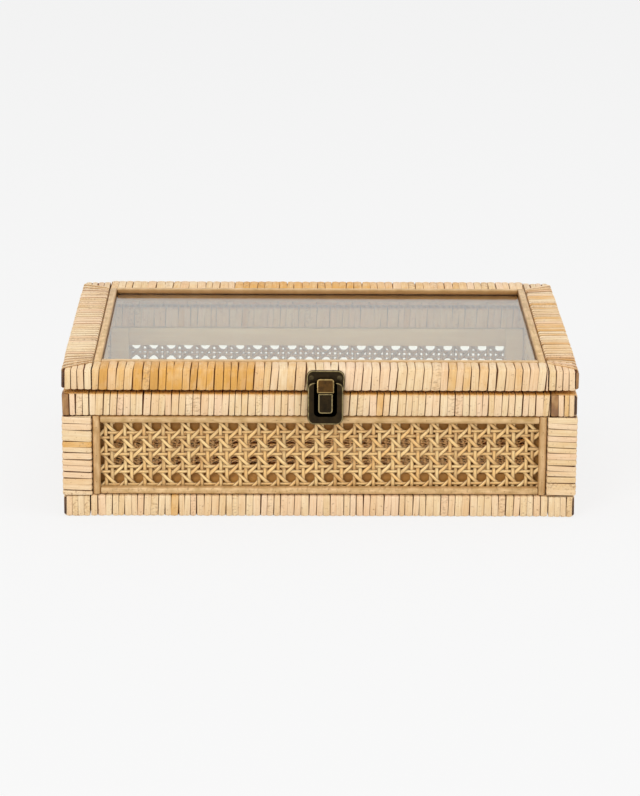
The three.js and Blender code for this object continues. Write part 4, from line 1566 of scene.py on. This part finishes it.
def screw_head(shape, rim, point, outward, radius, turn):
    """A domed cross-head screw that faces outward."""
    fresh = bmesh.ops.create_grid(shape, x_segments=5, y_segments=5, size=1)["verts"]
    cross = [f for f in {f for v in fresh for f in v.link_faces} if in_cross(f)]
    for vert in fresh:
        x, y = vert.co.x, vert.co.y
        reach = max(abs(x), abs(y))
        length = math.hypot(x, y)
        if length:
            vert.co = Vector((x, y, 0)) * reach / length
        vert.co.z = SCREW_DOME * (1 - vert.co.length_squared)
        vert[rim] = SCREW_RIM
    sunk = extruded(shape, cross, (0, 0, -CROSS_DEPTH))
    for vert in sunk:
        vert[rim] = 0.0
    border = [e for e in shape.edges if e.is_boundary and e.verts[0] in fresh]
    lower = verts_of(bmesh.ops.extrude_edge_only(shape, edges=border)["geom"])
    bmesh.ops.translate(shape, vec=(0, 0, -SKIRT), verts=lower)
    aim = outward.to_track_quat("Z", "Y").to_matrix().to_4x4()
    matrix = Matrix.Translation(point) @ aim @ Matrix.Rotation(turn, 4, "Z") @ Matrix.Scale(radius, 4)
    bmesh.ops.transform(shape, matrix=matrix, verts=fresh + sunk + lower)


print("a screw's dome is", SCREW_DOME, "of its radius")

# %% Screws
CATCH_SCREW = {"aside": 9.2, "lift": 9.0, "radius": 1.75}
LEAF_SCREW = {"aside": 9.0, "inset": 4.5, "radius": 2.0}
LEAF_THICKNESS = 1.2
PROUD = 0.05
MOST_TURN = 1.5
LOOSE = {"sharp": 50, "outward": False}
rng = random.Random("screws")
shape, rim = rimmed_mesh()
for side in (-1, 1):
    x = LATCH_X + side * CATCH_SCREW["aside"]
    point = (x, CATCH_FACE - PROUD, catch_low.z + CATCH_SCREW["lift"])
    screw_head(shape, rim, point, FRONTWARD, CATCH_SCREW["radius"], rng.uniform(0, MOST_TURN))
make_piece("catch_plate_screws", shape, bronze_finish, "lid", "antique_bronze", **LOOSE)
for side in SIDES:
    for part in ("base", "lid"):
        low, high = box_mm(f"{side}_hinge_{part}_leaf")
        level = low.z + LEAF_SCREW["inset"] if part == "base" else high.z - LEAF_SCREW["inset"]
        shape, rim = rimmed_mesh()
        for aside in (-LEAF_SCREW["aside"], LEAF_SCREW["aside"]):
            point = ((low.x + high.x) / 2 + aside, low.y + LEAF_THICKNESS + PROUD, level)
            screw_head(shape, rim, point, -FRONTWARD, LEAF_SCREW["radius"], rng.uniform(0, MOST_TURN))
        make_piece(f"{side}_hinge_{part}_screws", shape, brass_finish, part, "antique_brass", **LOOSE)
print("screws set")

# %% Look settings, sizes and finish
bpy.context.scene.view_settings.view_transform = "Standard"
low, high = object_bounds()
{"cad": [list(cad_low), list(cad_high)], "visual": [list(low), list(high)]}
print("visual box in mm:", [round(v / MM, 1) for v in high - low])
